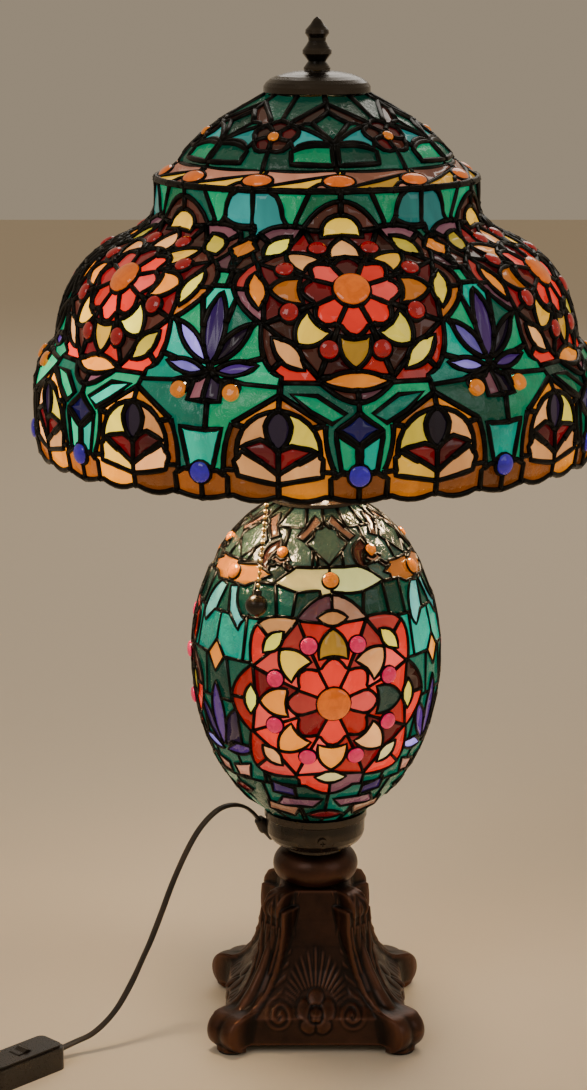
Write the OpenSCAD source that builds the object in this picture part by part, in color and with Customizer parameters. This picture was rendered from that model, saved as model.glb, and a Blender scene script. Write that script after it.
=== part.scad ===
// Double-lit leaded glass table lamp: a cast square base, a lit glass egg, a two-lamp cluster
// with pull chains, and a domed shade held by a cap and finial. Millimetres, +Z up, origin on
// the resting surface under the centre pipe, front towards -Y.

/* [Base] */
// Overall width over the corner foot scrolls
base_w = 162; // [135:1:200]
// Height of the top of the casting above the resting surface
base_h = 112; // [92:1:136]
// Wall of the hollow casting
base_wall = 4; // [3:0.5:6]
// Half width of the square top of the casting
base_top_half = 27; // [22:1:32]
// Radius of the foot scrolls
foot_r = 14; // [11:0.5:17]
// Width of a corner leg
leg_w = 24; // [18:1:30]
// Thickness of the felt pads under the feet
pad_t = 1.5; // [1:0.25:3]
// Radius of the felt pads
pad_r = 10; // [8:0.5:12]

/* [Neck and cup] */
// Largest radius of the neck cushion
cushion_r = 32; // [27:0.5:38]
// Height of the neck cushion
cushion_h = 26; // [20:0.5:32]
// Outer radius of the cup rim that carries the egg
cup_r = 38.5; // [34:0.5:46]
// Height of the cup
cup_h = 31; // [28:0.5:38]
// Wall of the cup
cup_wall = 3.4; // [2.5:0.1:4.5]
// Radius of the cup screws
cup_screw_r = 2; // [1.5:0.1:2.5]

/* [Centre pipe] */
// Outer radius of the threaded pipe
pipe_r = 5; // [4.5:0.25:6]
// Wall of the threaded pipe
pipe_wall = 1.5; // [1:0.1:2]
// Radius of the thin stud that takes the finial
stud_r = 3.1; // [2.5:0.1:3.6]
// Radial clearance of holes on the pipe and the stud
fit = 0.08; // [0.04:0.01:0.1]

/* [Egg] */
// Largest outer radius of the glass egg
egg_r = 93; // [78:1:112]
// Height of the egg from the cup rim to its top edge
egg_h = 237; // [198:1:285]
// Height of the widest ring above the cup rim
egg_belly = 121; // [102:1:133]
// Outer radius of the egg at its top edge
egg_top_r = 32; // [27:0.5:38]
// Wall of the glass and solder
egg_wall = 3.2; // [2.5:0.1:4]
// Height of the rosette centres above the cup rim
egg_rosette_up = 107.5; // [95:0.5:118]
// Height of the egg belt jewels above the cup rim
egg_belt_up = 194; // [163:1:210]
// Height of the small jewels near the top of the egg, above the cup rim
egg_crown_up = 211; // [178:1:222]

/* [Light cluster] */
// Height of the socket axis above the top of the egg
cluster_up = 84; // [70:1:100]
// Turn of the socket axis about the pipe, in degrees
socket_turn = 25; // [15:1:35]
// Outer radius of the lamp sockets
socket_r = 16.5; // [15:0.5:18]
// Length of a socket shell
socket_len = 44; // [38:1:52]
// Radius of the bulb globes
bulb_r = 24; // [20:0.5:28]
// Length of a bulb outside its socket
bulb_len = 70; // [60:1:80]

/* [Pull chains] */
// Radius of a chain bead
bead_r = 1.6; // [1.3:0.1:2]
// Pitch of the chain beads
bead_pitch = 4.4; // [4:0.1:5.4]
// Radius of the pull ball
ball_r = 8; // [6.5:0.25:9.5]
// Height of the pull ball above the cup rim
ball_up = 178; // [158:1:192]
// Space between the pull ball and the egg
ball_gap = 3; // [2:0.25:6]
// Turn of the ball from its socket axis, in degrees
ball_turn = 38; // [30:1:45]

/* [Shade] */
// Largest outer radius of the shade
shade_r = 204; // [170:1:245]
// Height of the shade rim above the top of the egg
shade_up = 41; // [32:1:50]
// Wall of the glass and solder
shade_wall = 3; // [2.4:0.1:3.6]
// Height of the straight skirt
skirt_h = 79; // [66:1:95]
// How far the skirt stands out from the waist
skirt_kick = 16; // [12:0.5:20]
// Height of the dome
dome_h = 94.5; // [80:0.5:113]
// Radius of the vertical neck above the dome
neck_r = 116; // [104:1:125]
// Height of the vertical neck
neck_h = 20.5; // [16:0.5:26]
// Height of the jewelled belt
belt_h = 11.5; // [9:0.5:14]
// How far the belt spreads outwards
belt_spread = 16; // [12:0.5:20]
// Height of the crown
crown_h = 47.5; // [40:0.5:57]
// Outer radius of the opening at the top
opening_r = 37; // [33:0.5:42]

/* [Cap and finial] */
// Radius of the cap over the opening
cap_r = 38; // [35:0.5:42]
// Height of the cap
cap_h = 15; // [12:0.5:19]
// Thickness of the cap plate
cap_t = 1.6; // [1.2:0.1:2.5]
// Height of the finial
finial_h = 37; // [30:0.5:45]
// Largest radius of the finial
finial_r = 10.3; // [9:0.1:12.5]

/* [Jewels] */
// Turn of the flower pattern from the front, in degrees
pattern_turn = 7.5; // [0:0.5:15]
// Radius of the ring of small jewels round a flower
ruby_ring = 46; // [40:0.5:48]
// Radius of the small round jewels
ruby_r = 6; // [5:0.25:7]
// Radius of the flower centres
centre_r = 12; // [10:0.5:13.5]
// Radius of the belt jewels
belt_jewel_r = 5.6; // [4.5:0.1:6]
// Radius of the rim jewels
rim_jewel_r = 7; // [6:0.25:8.5]

/* [Cord] */
// Width of the flat cord
cord_w = 5.8; // [5:0.2:7]
// Thickness of the flat cord
cord_t = 3; // [2.6:0.1:3.4]
// Length of the inline switch
switch_len = 65; // [58:1:72]
// Width of the inline switch
switch_w = 28; // [25:0.5:32]
// Height of the inline switch
switch_h = 19; // [17:0.5:22]
// Inner radius of the stored coil
coil_in = 28; // [26:0.5:32]
// Outer radius of the stored coil
coil_out = 40; // [38:0.5:44]
// Height of the stored coil
coil_h = 12.6; // [12:0.1:14]

/* [Hidden] */

$fn = 64;
eps = 0.01;
move_gap = 0.4; // air between pieces that move against each other
front = -90; // azimuth of the front of the lamp

// Heights of the stack
cup_z = base_h + cushion_h;
egg_z = cup_z + cup_h;
belly_z = egg_z + egg_belly;
egg_top_z = egg_z + egg_h;
cluster_z = egg_top_z + cluster_up;
rim_z = egg_top_z + shade_up;
waist_z = rim_z + skirt_h;
dome_top_z = waist_z + dome_h;
belt_z = dome_top_z + neck_h;
crown_z = belt_z + belt_h;
shade_top_z = crown_z + crown_h;
cap_z = shade_top_z + move_gap;
finial_z = cap_z + cap_h + move_gap;

// Base
body_half = base_w / 2 - 11;
body_low_z = pad_t + 4;
ledge_z = body_low_z + 20;
ledge_half = body_half - 4;
foot_diag = (base_w / 2) * sqrt(2) - foot_r - leg_w / 2;
scroll_r = 12.5;
scroll_w = 16;
scroll_diag = base_top_half * sqrt(2) - 2;
boss_t = 9;
washer_t = 2;
washer_r = 20;
nut_h = 6;
nut_r = pipe_r * 1.85;

// Cup and pipe
cup_floor = 9;
cup_in_r = cup_r - cup_wall - 0.6;
cup_screw_z = cup_z + 15;
egg_foot_r = cup_r - 0.3;
foot_ring_r = cup_in_r - 0.6;
foot_ring_t = 3;
bore_r = pipe_r + fit;
stud_bore_r = stud_r + fit;
pipe_low_z = base_h - boss_t - washer_t - nut_h - 2;
pipe_top_z = cluster_z - 9;

// Sockets, along their own axis from the pipe
hub_r = 17;
hub_half = 16;
cap_from = 24;
cap_to = 42;
shell_to = cap_to + socket_len;
spout_out = 45;
spout_side = 30;
bell_half = 9;
bell_r = 4.5;
chain_bore_r = bead_r + 0.7;
pull_travel = 12;

// Shade outline, from the opening down to the rim
waist_r = shade_r - skirt_kick;
belt_top_r = neck_r - belt_spread;
shoulder_r = neck_r + 0.4 * (waist_r - neck_r);
shoulder_z = dome_top_z - dome_h / 4;
function curve(a, b, c, n) =
    [for (i = [0 : n]) let (t = i / n) (1 - t) * (1 - t) * a + 2 * t * (1 - t) * b + t * t * c];
function without_first(p) = [for (i = [1 : len(p) - 1]) p[i]];
crown_line = curve(
    [opening_r, shade_top_z],
    [opening_r + 0.74 * (belt_top_r - opening_r), crown_z + crown_h / 2],
    [belt_top_r, crown_z], 6);
belt_line = [[belt_top_r, crown_z], [neck_r, belt_z]];
neck_line = [[neck_r, belt_z], [neck_r, dome_top_z]];
dome_line = concat(
    curve([neck_r, dome_top_z], [neck_r + 2, shoulder_z + 10], [shoulder_r, shoulder_z], 4),
    without_first(curve([shoulder_r, shoulder_z], [waist_r - 4, shoulder_z - 19],
        [waist_r, waist_z], 8)));
skirt_line = concat(
    curve([waist_r, waist_z], [shade_r - 2, waist_z - 9], [shade_r, waist_z - 28], 5),
    [[shade_r, rim_z + 16], [shade_r - 3, rim_z]]);

// Egg outline, from the top edge down to the cup rim
egg_up_b = (egg_h - egg_belly) / sqrt(1 - pow(egg_top_r / egg_r, 2));
egg_low_b = egg_belly / sqrt(1 - pow(egg_foot_r / egg_r, 2));
function egg_b(z) = z > belly_z ? egg_up_b : egg_low_b;
function egg_out(z) = egg_r * sqrt(1 - pow((z - belly_z) / egg_b(z), 2));
function egg_in(z) =
    (egg_r - egg_wall) * sqrt(1 - pow((z - belly_z) / (egg_b(z) - egg_wall), 2));
egg_steps = 30;
egg_line = [for (i = [0 : egg_steps])
    let (z = egg_top_z - egg_h * i / egg_steps) [egg_out(z), z]];

// Points, directions and walls of an outline that runs downwards
function unit(v) = v / norm(v);
function step(p, i) = unit(p[i] - p[i - 1]);
function heading(p, i) =
    i == 0 ? step(p, 1) : i == len(p) - 1 ? step(p, i) : unit(step(p, i) + step(p, i + 1));
function outward(d) = [-d[1], d[0]];
function inner(p, wall) = [for (i = [len(p) - 1 : -1 : 0]) p[i] - wall * outward(heading(p, i))];
function length_to(p, z, i = 1) =
    i >= len(p) || p[i][1] <= z
        ? norm(p[i] - p[i - 1]) * (p[i - 1][1] - z) / (p[i - 1][1] - p[i][1])
        : norm(p[i] - p[i - 1]) + length_to(p, z, i + 1);
function spot(p, s, i = 1) =
    i == len(p) - 1 || s <= norm(p[i] - p[i - 1])
        ? [p[i - 1] + s * step(p, i), outward(step(p, i))]
        : spot(p, s - norm(p[i] - p[i - 1]), i + 1);

// Jewel places
pattern_az = front + pattern_turn;
shade_folds = 6;
egg_folds = 3;
rosette_z = waist_z + 0.59 * dome_h;
bud_z = waist_z - 9;
bud_side = 18;
rim_jewel_z = rim_z + 17;
crown_jewel_z = crown_z + 0.45 * crown_h;
crown_jewel_r = 4;
bud_jewel_r = 5.6;
seat = 0.05; // solder gap round a jewel

// Pull chain line in a socket's own turned frame
ball_z = egg_z + ball_up;
ball_tilt = egg_r * (ball_z - belly_z) / (egg_up_b * egg_up_b)
    / sqrt(1 - pow((ball_z - belly_z) / egg_up_b, 2));
ball_away = egg_out(ball_z) + (ball_r + ball_gap) * sqrt(1 + ball_tilt * ball_tilt);
chain_top = [spout_out, spout_side, cluster_z];
chain_end = [ball_away * cos(ball_turn), ball_away * sin(ball_turn), ball_z];
chain_dir = unit(chain_end - chain_top);
chain_len = norm(chain_end - chain_top) - ball_r;
left_turn = 180 + socket_turn;
right_turn = socket_turn;

// Inline switch, coil and plug
switch_at = [-215, -108, 0];
switch_turn = 226;
port_z = 8.5;
function switch_port(end) =
    switch_at + [end * switch_len / 2 * cos(switch_turn), end * switch_len / 2 * sin(switch_turn),
        port_z];
rocker_r = 8.2;
rocker_w = 10;
rocker_z = 13.5;
rocker_rest = 12;
coil_at = [-292, -112, 0];
tie_t = 1.2;
tie_w = 10;
plug_at = [-338, -68, 0];
plug_len = 30;
plug_w = 24;
plug_t = 13;
cord_route = concat([
    [-43, 3, 158], [-48, 0, 165], [-54, -4, 170.5], [-62, -9, 173.5], [-71, -14, 172.5],
    [-80, -19, 166.5], [-89, -24, 156], [-98, -29, 140], [-107, -34, 120], [-115, -39, 99],
    [-123, -44, 79], [-129, -47, 66], [-135, -50, 53], [-141, -54, 42], [-148, -58, 31],
    [-157, -62, 21], [-167, -67, 14], [-178, -72, 10.5], [-187, -79, 8.8],
], [switch_port(-1)]);
tail_route = concat([switch_port(1)], [
    [-243, -137, 6.2], [-249, -142, 3.4], [-257, -146, 2], [-268, -149, 1.6],
    [-279, -150, 2],
]);
lead_route = [
    [-329, -112, 12], [-332, -100, 9.5], [-335, -88, 7.5], [-337, -78, 6.6], [-338, -68, 6.5],
];
cord_sides = 10;
exit_dir = unit(cord_route[1] - cord_route[0]);
bushing_len = 20;

// A ring of an outline, turned about Z, in panels that meet at a thin solder gap from az on
module shell(outer, wall, az, level_foot = false) {
    back = inner(outer, wall);
    foot = level_foot ? [outer[len(outer) - 1] - [wall, 0]] : [back[0]];
    panels(shade_folds, az) rotate_extrude($fn = 128)
        polygon(concat(outer, foot, [for (i = [1 : len(back) - 1]) back[i]]));
}

// Cuts upright gaps through its children at count equal angles from az on
module panels(count, az) {
    difference() {
        children();
        for (k = [0 : count - 1]) rotate([0, 0, az + k * 360 / count])
            translate([foot_ring_r - 8, -seat, cup_z]) cube([shade_r, 2 * seat, shade_top_z]);
    }
}

// Places children on an outline, s along it, with +Z pointing out of the surface
module on_line(line, s, az) {
    here = spot(line, s);
    rotate([0, 0, az])
        translate([here[0][0], 0, here[0][1]])
            rotate([0, atan2(here[1][0], here[1][1]), 0])
                children();
}

// A domed jewel of radius r whose girdle fills a wall
module cabochon(r, wall, rise) {
    rotate_extrude($fn = 32)
        polygon(concat(
            [[0, -wall - rise / 3], [r * 0.8, -wall], [r, -wall + 0.4]],
            [for (a = [0 : 15 : 90]) [r * cos(a), 0.4 + rise * sin(a)]]));
}

module drill(r, wall) {
    translate([0, 0, -wall - 4]) cylinder(r = r + seat, h = wall + 8);
}

module crown_spots() {
    for (k = [0 : shade_folds - 1])
        on_line(crown_line, length_to(crown_line, crown_jewel_z),
            pattern_az + (k + 0.5) * 360 / shade_folds) children();
}

module belt_spots() {
    for (k = [0 : 2 * shade_folds - 1])
        on_line(belt_line, norm(belt_line[1] - belt_line[0]) / 2,
            pattern_az + k * 180 / shade_folds) children();
}

module rosette_spots(line, z, folds) {
    for (k = [0 : folds - 1])
        on_line(line, length_to(line, z), pattern_az + k * 360 / folds) children();
}

// Eight places round each flower, at true distances on the surface
module ruby_spots(line, z, folds) {
    middle = length_to(line, z);
    for (k = [0 : folds - 1], j = [0 : 7]) {
        a = 45 * j + 22.5;
        s = middle + ruby_ring * cos(a);
        across = ruby_ring * sin(a) / spot(line, s)[0][0] * 180 / PI;
        on_line(line, s, pattern_az + k * 360 / folds + across) children();
    }
}

module bud_spots() {
    for (k = [0 : shade_folds - 1], side = [-1, 1])
        on_line(skirt_line, length_to(skirt_line, bud_z),
            pattern_az + (k + 0.5) * 360 / shade_folds + side * bud_side / waist_r * 180 / PI)
            children();
}

module rim_spots() {
    for (k = [0 : 2 * shade_folds - 1])
        on_line(skirt_line, length_to(skirt_line, rim_jewel_z),
            pattern_az + k * 180 / shade_folds) children();
}

module egg_belt_spots() {
    for (k = [0 : 2 * egg_folds - 1])
        on_line(egg_line, length_to(egg_line, egg_z + egg_belt_up),
            pattern_az + k * 180 / egg_folds) children();
}

module egg_crown_spots() {
    for (k = [0 : 2 * egg_folds - 1])
        on_line(egg_line, length_to(egg_line, egg_z + egg_crown_up),
            pattern_az + (k + 0.5) * 180 / egg_folds) children();
}

module hex_nut(z, h) {
    translate([0, 0, z]) difference() {
        cylinder(r = nut_r, h = h, $fn = 6);
        translate([0, 0, -1]) cylinder(r = bore_r, h = h + 2);
    }
}

module each_corner() {
    for (k = [0 : 3]) rotate([0, 0, 45 + 90 * k]) children();
}

// Square solid whose four sides follow one upright outline of half widths
module square_body(outline) {
    both = concat(outline, [for (i = [len(outline) - 1 : -1 : 0]) [-outline[i][0], outline[i][1]]]);
    intersection() {
        rotate([90, 0, 0]) linear_extrude(2 * base_w, center = true) polygon(both);
        rotate([90, 0, 90]) linear_extrude(2 * base_w, center = true) polygon(both);
    }
}

// A flat cord swept along its points, lying with its width level
module flat_cord(route) {
    n = len(route);
    ring = [for (i = [0 : n - 1])
        let (
            d = unit((i < n - 1 ? route[i + 1] : route[i]) - (i > 0 ? route[i - 1] : route[i])),
            side = unit(cross(d, [0, 0, 1])),
            up = cross(side, d)
        )
        for (k = [0 : cord_sides - 1])
            let (a = 360 * k / cord_sides)
            route[i] + side * cord_w / 2 * cos(a) + up * cord_t / 2 * sin(a)];
    walls = [for (i = [0 : n - 2], k = [0 : cord_sides - 1])
        let (a = i * cord_sides + k, b = i * cord_sides + (k + 1) % cord_sides)
        [b, a, a + cord_sides, b + cord_sides]];
    first = [for (k = [0 : cord_sides - 1]) k];
    last = [for (k = [cord_sides - 1 : -1 : 0]) (n - 1) * cord_sides + k];
    polyhedron(ring, concat(walls, [first, last]), convexity = 6);
}

module rounded_plan(l, w, r) {
    square([l - 2 * r, w], center = true);
    square([l, w - 2 * r], center = true);
    for (x = [-1, 1], y = [-1, 1]) translate([x * (l / 2 - r), y * (w / 2 - r)]) circle(r);
}

module foot_pads() {
    color("#3a3a38")
        each_corner() translate([foot_diag, 0, 0]) cylinder(r = pad_r, h = pad_t);
}

module base_casting() {
    outer = concat([[body_half, body_low_z]],
        curve([ledge_half, ledge_z], [40, ledge_z + 16], [base_top_half, base_h], 6));
    hollow_top = base_h - boss_t;
    hollow = concat([[body_half - base_wall, body_low_z - 1]],
        curve([ledge_half - base_wall, ledge_z], [40 - base_wall, ledge_z + 16],
            [base_top_half - base_wall, hollow_top], 6));
    color("#3a2a24") difference() {
        union() {
            square_body(outer);
            each_corner() {
                rotate([90, 0, 0]) linear_extrude(leg_w, center = true)
                    polygon(concat(
                        [[foot_diag, pad_t + foot_r - 4], [foot_diag, pad_t + 2 * foot_r - 1]],
                        curve([foot_diag - 4, pad_t + 2 * foot_r - 1],
                            [scroll_diag + scroll_r, ledge_z + 14],
                            [scroll_diag + scroll_r - 2, base_h - scroll_r], 6),
                        [[scroll_diag - scroll_r, base_h - scroll_r], [scroll_diag, ledge_z]]));
                translate([foot_diag, 0, pad_t + foot_r]) rotate([90, 0, 0])
                    cylinder(r = foot_r, h = leg_w + 4, center = true);
                translate([foot_diag, 0, pad_t]) cylinder(r = pad_r + 1, h = foot_r);
                translate([scroll_diag, 0, base_h - scroll_r]) rotate([90, 0, 0])
                    cylinder(r = scroll_r - eps, h = scroll_w, center = true);
            }
        }
        square_body(hollow);
        translate([0, 0, hollow_top - 1]) cylinder(r = bore_r, h = boss_t + 2);
    }
}

module base_washer() {
    color("#8d8f92") translate([0, 0, base_h - boss_t - washer_t]) difference() {
        cylinder(r = washer_r, h = washer_t);
        translate([0, 0, -1]) cylinder(r = bore_r, h = washer_t + 2);
    }
}

module base_nut() {
    color("#9a9c9e") hex_nut(base_h - boss_t - washer_t - nut_h, nut_h);
}

module lamp_pipe() {
    color("#b08d4a") translate([0, 0, pipe_low_z]) difference() {
        cylinder(r = pipe_r, h = pipe_top_z - pipe_low_z);
        translate([0, 0, -1])
            cylinder(r = pipe_r - pipe_wall, h = pipe_top_z - pipe_low_z + 2);
        translate([0, 0, cup_z + cup_floor + nut_h + 8 - pipe_low_z]) rotate([0, -90, 0])
            cylinder(r = 2.6, h = pipe_r + 2);
    }
}

module neck_cushion() {
    color("#33261f") translate([0, 0, base_h]) rotate_extrude() difference() {
        union() {
            translate([bore_r, 0]) square([cushion_r - cushion_h / 2 - bore_r, cushion_h]);
            translate([cushion_r - cushion_h / 2, cushion_h / 2]) circle(cushion_h / 2);
        }
        translate([-1, -1]) square([bore_r + 1, cushion_h + 2]);
    }
}

module fitter_cup() {
    wall_in = cup_in_r;
    color("#2c211b") difference() {
        rotate_extrude() polygon(concat(
            [[bore_r, cup_z], [22, cup_z]],
            curve([22, cup_z + 3], [cup_r - 4, cup_z + 4], [cup_r - 1.6, cup_z + 14], 5),
            [[cup_r - 1.2, egg_z - 6], [cup_r, egg_z - 5], [cup_r, egg_z], [wall_in, egg_z],
                [wall_in, cup_z + cup_floor], [bore_r, cup_z + cup_floor]]));
        for (k = [0 : 2]) rotate([0, 0, pattern_az + 120 * k]) translate([wall_in - 3, 0, cup_screw_z])
            rotate([0, 90, 0]) cylinder(r = cup_screw_r + fit, h = cup_wall + 8);
        bushing_seat();
    }
}

// The hole for the bushing, with a recess for its flange
module bushing_seat() {
    translate(cord_route[0] - bushing_len * exit_dir) aim(exit_dir) {
        translate([0, 0, -3]) cylinder(r = 4.5, h = bushing_len + 6);
        translate([0, 0, 9.6]) cylinder(r = 6.2, h = bushing_len);
    }
}

// Turns +Z onto a direction
module aim(d) {
    rotate([0, acos(d[2]), atan2(d[1], d[0])]) children();
}

module fitter_nut() {
    color("#b08d4a") hex_nut(cup_z + cup_floor, nut_h);
}

module fitter_screws() {
    color("#1d1714") for (k = [0 : 2]) rotate([0, 0, pattern_az + 120 * k])
        translate([foot_ring_r, 0, cup_screw_z]) rotate([0, 90, 0]) difference() {
            union() {
                cylinder(r = cup_screw_r, h = cup_r - 1 - foot_ring_r);
                translate([0, 0, cup_r - 1 - foot_ring_r]) cylinder(r = cup_screw_r + 1.6, h = 2);
            }
            translate([0, 0, cup_r + 0.6 - foot_ring_r]) {
                cube([cup_screw_r * 2, 0.8, 2], center = true);
                cube([0.8, cup_screw_r * 2, 2], center = true);
            }
        }
}

module cord_bushing() {
    color("#141312") translate(cord_route[0] - bushing_len * exit_dir) aim(exit_dir)
        rotate_extrude() polygon([[0, 0], [4.2, 0], [4.2, 9], [5.6, 10], [5.6, 12],
            [3.6, bushing_len], [0, bushing_len]]);
}

module egg_shell() {
    inside = [for (i = [1 : egg_steps - 1])
        let (z = egg_top_z - egg_h + (egg_h * i) / egg_steps) [egg_in(z), z]];
    color("#1fa080") difference() {
        panels(egg_folds, pattern_az + 45) rotate_extrude($fn = 128) polygon(concat(
            egg_line,
            [[foot_ring_r, egg_z], [foot_ring_r, cup_z + cup_floor + 1],
                [foot_ring_r - foot_ring_t, cup_z + cup_floor + 1],
                [foot_ring_r - foot_ring_t, egg_z + 4]],
            inside,
            [[egg_top_r - egg_wall, egg_top_z]]));
        rosette_spots(egg_line, egg_z + egg_rosette_up, egg_folds) drill(centre_r, egg_wall);
        ruby_spots(egg_line, egg_z + egg_rosette_up, egg_folds) drill(ruby_r, egg_wall);
        egg_belt_spots() drill(belt_jewel_r, egg_wall);
        egg_crown_spots() drill(crown_jewel_r, egg_wall);
        bushing_seat();
    }
}

module egg_rosette_centres() {
    color("#e08020") rosette_spots(egg_line, egg_z + egg_rosette_up, egg_folds)
        cabochon(centre_r, egg_wall, 3);
}

module egg_ruby_jewels() {
    color("#e0206a") ruby_spots(egg_line, egg_z + egg_rosette_up, egg_folds)
        cabochon(ruby_r, egg_wall, 2.4);
}

module egg_belt_jewels() {
    color("#d88a20") egg_belt_spots() cabochon(belt_jewel_r, egg_wall, 2.4);
}

module egg_crown_jewels() {
    color("#d88a20") egg_crown_spots() cabochon(crown_jewel_r, egg_wall, 2);
}

module egg_top_cap() {
    color("#2a2420") difference() {
        union() {
            translate([0, 0, egg_top_z]) cylinder(r = egg_top_r + 1.5, h = 2.5);
            translate([0, 0, egg_top_z - 3]) cylinder(r = egg_top_r - egg_wall - 0.3, h = 4);
        }
        translate([0, 0, egg_top_z - 4]) cylinder(r = bore_r, h = 8);
        for (a = [0 : 60 : 300]) rotate([0, 0, a]) translate([egg_top_r * 0.6, 0, egg_top_z - 4])
            cylinder(r = 3, h = 8);
    }
}

module egg_lock_nut() {
    color("#b08d4a") hex_nut(egg_top_z + 2.5, nut_h);
}

egg_socket_x = 26;
egg_socket_z = egg_z + 34;
egg_socket_r = 11;
egg_socket_h = 40;

module egg_socket() {
    color("#c9b27a") difference() {
        union() {
            translate([0, 0, egg_socket_z]) cylinder(r = pipe_r + 4, h = 12);
            translate([0, -4, egg_socket_z]) cube([egg_socket_x, 8, 8]);
            translate([egg_socket_x, 0, egg_socket_z]) cylinder(r = egg_socket_r, h = egg_socket_h);
        }
        translate([0, 0, egg_socket_z - 1]) cylinder(r = bore_r, h = 14);
        translate([egg_socket_x, 0, egg_socket_z + 14])
            cylinder(r = egg_socket_r - 2.5, h = egg_socket_h);
    }
}

module egg_bulb() {
    color("#fff0c8") translate([egg_socket_x, 0, egg_socket_z + 14])
        rotate_extrude() polygon(concat(
            [[0, 0], [6.5, 2], [7.8, 4], [7.8, egg_socket_h - 14], [9, egg_socket_h - 12]],
            [for (a = [-30 : 15 : 90]) [12 * cos(a), egg_socket_h + 10 + 26 * sin(a)]]));
}

module inner_wires() {
    low = cup_z + cup_floor + nut_h + 4;
    color("#7a4a2a") for (x = [-1, 1]) translate([0, 1.6 * x, low])
        cylinder(r = 1.2, h = cluster_z - 4 - low, $fn = 24);
}

module cluster_body() {
    color("#4a3a2c") difference() {
        union() {
            translate([0, 0, cluster_z - hub_half]) cylinder(r = hub_r, h = 2 * hub_half);
            for (turn = [left_turn, right_turn]) translate([0, 0, cluster_z])
                rotate([0, 0, turn]) rotate([0, 90, 0]) cylinder(r = 8, h = cap_from);
        }
        translate([0, 0, cluster_z - hub_half - 1]) cylinder(r = bore_r, h = pipe_top_z
            - cluster_z + hub_half + 1);
        translate([0, 0, pipe_top_z - 1]) cylinder(r = pipe_r - pipe_wall, h = 14);
        translate([0, 0, cluster_z + hub_half - 10]) cylinder(r = bore_r, h = 11);
    }
}

module socket_frame(turn) {
    translate([0, 0, cluster_z]) rotate([0, 0, turn]) rotate([0, 90, 0]) children();
}

module socket_caps() {
    color("#a07a3c") for (turn = [left_turn, right_turn]) socket_frame(turn)
        rotate_extrude() polygon([[0, cap_from], [9, cap_from], [14, cap_from + 3],
            [socket_r, cap_from + 8], [socket_r, cap_to], [0, cap_to]]);
}

module socket_shells() {
    color("#a07a3c") for (turn = [left_turn, right_turn]) socket_frame(turn) difference() {
        translate([0, 0, cap_to]) cylinder(r = socket_r, h = socket_len);
        translate([0, 0, cap_to + 4]) cylinder(r = socket_r - 2, h = socket_len);
    }
}

// A screw base in the socket, a neck and a round globe
module bulb(turn) {
    globe = shell_to + bulb_len - bulb_r;
    color("#fff3d6") socket_frame(turn) rotate_extrude() polygon(concat(
        [[0, cap_to + 5], [6, cap_to + 6], [13, cap_to + 10], [13, shell_to + 2]],
        [for (a = [-50 : 14 : 90]) [bulb_r * cos(a), globe + bulb_r * sin(a)]]));
}

module left_bulb() {
    bulb(left_turn);
}

module right_bulb() {
    bulb(right_turn);
}

module pull_frame(turn) {
    rotate([0, 0, turn]) children();
}

// A side tube on each socket cap that ends in a bell for the chain
module chain_spouts() {
    color("#a07a3c") for (turn = [left_turn, right_turn]) pull_frame(turn) difference() {
        union() {
            spout_stub();
            translate(chain_top - bell_half * chain_dir) aim(chain_dir)
                cylinder(r = bell_r, h = 2 * bell_half);
        }
        translate(chain_top - (bell_half - 1.5) * chain_dir) aim(chain_dir)
            cylinder(r = chain_bore_r, h = 3 * bell_half);
    }
}

// The level stub between a socket cap and the bell of its spout
module spout_stub() {
    foot = [(cap_from + cap_to) / 2 + 3, socket_r - 1.5, cluster_z];
    translate(foot) aim(unit(chain_top - foot)) cylinder(r = 3.2, h = norm(chain_top - foot));
}

module pull_chain(turn) {
    top = bell_half - 2.5;
    total = chain_len + top;
    count = floor((total - 2 * bead_r) / bead_pitch);
    color("#b8954e") pull_frame(turn) translate(chain_top - top * chain_dir) aim(chain_dir) {
        cylinder(r = 0.5, h = total + 1, $fn = 16);
        for (i = [0 : count]) translate([0, 0, total - bead_r - i * bead_pitch]) sphere(bead_r, $fn = 24);
    }
}

module pull_ball(turn) {
    color("#2e2319") pull_frame(turn) translate(chain_end) aim(chain_dir) difference() {
        union() {
            sphere(ball_r);
            translate([0, 0, -ball_r - 2.5]) cylinder(r = 3, h = 5);
        }
        translate([0, 0, -ball_r - 3]) cylinder(r = bead_r + 0.1, h = 4.4);
    }
}

module left_pull_chain() {
    pull_chain(left_turn);
}

module left_pull_ball() {
    pull_ball(left_turn);
}

module right_pull_chain() {
    pull_chain(right_turn);
}

module right_pull_ball() {
    pull_ball(right_turn);
}

rest_z = shade_top_z - shade_wall - 0.4 - move_gap; // top face of the rest ring
rest_t = 2.5;
rest_hub_z = rest_z - 7;

module shade_riser() {
    low = cluster_z + hub_half - 10;
    color("#b08d4a") {
        translate([0, 0, low]) cylinder(r = pipe_r, h = rest_hub_z - low);
        translate([0, 0, rest_hub_z - eps]) cylinder(r = stud_r, h = finial_z + 12 - rest_hub_z);
    }
}

module shade_rest() {
    ring_r = opening_r - 4.5;
    color("#6a5436") difference() {
        union() {
            translate([0, 0, rest_hub_z]) cylinder(r = 9, h = rest_z - rest_hub_z);
            for (a = [30 : 120 : 270]) rotate([0, 0, a])
                translate([0, -3, rest_z - rest_t]) cube([ring_r - 2, 6, rest_t]);
            translate([0, 0, rest_z - rest_t]) difference() {
                cylinder(r = ring_r, h = rest_t);
                translate([0, 0, -1]) cylinder(r = ring_r - 5, h = rest_t + 2);
            }
        }
        translate([0, 0, rest_hub_z - 1]) cylinder(r = stud_bore_r, h = rest_z - rest_hub_z + 2);
    }
}

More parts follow.
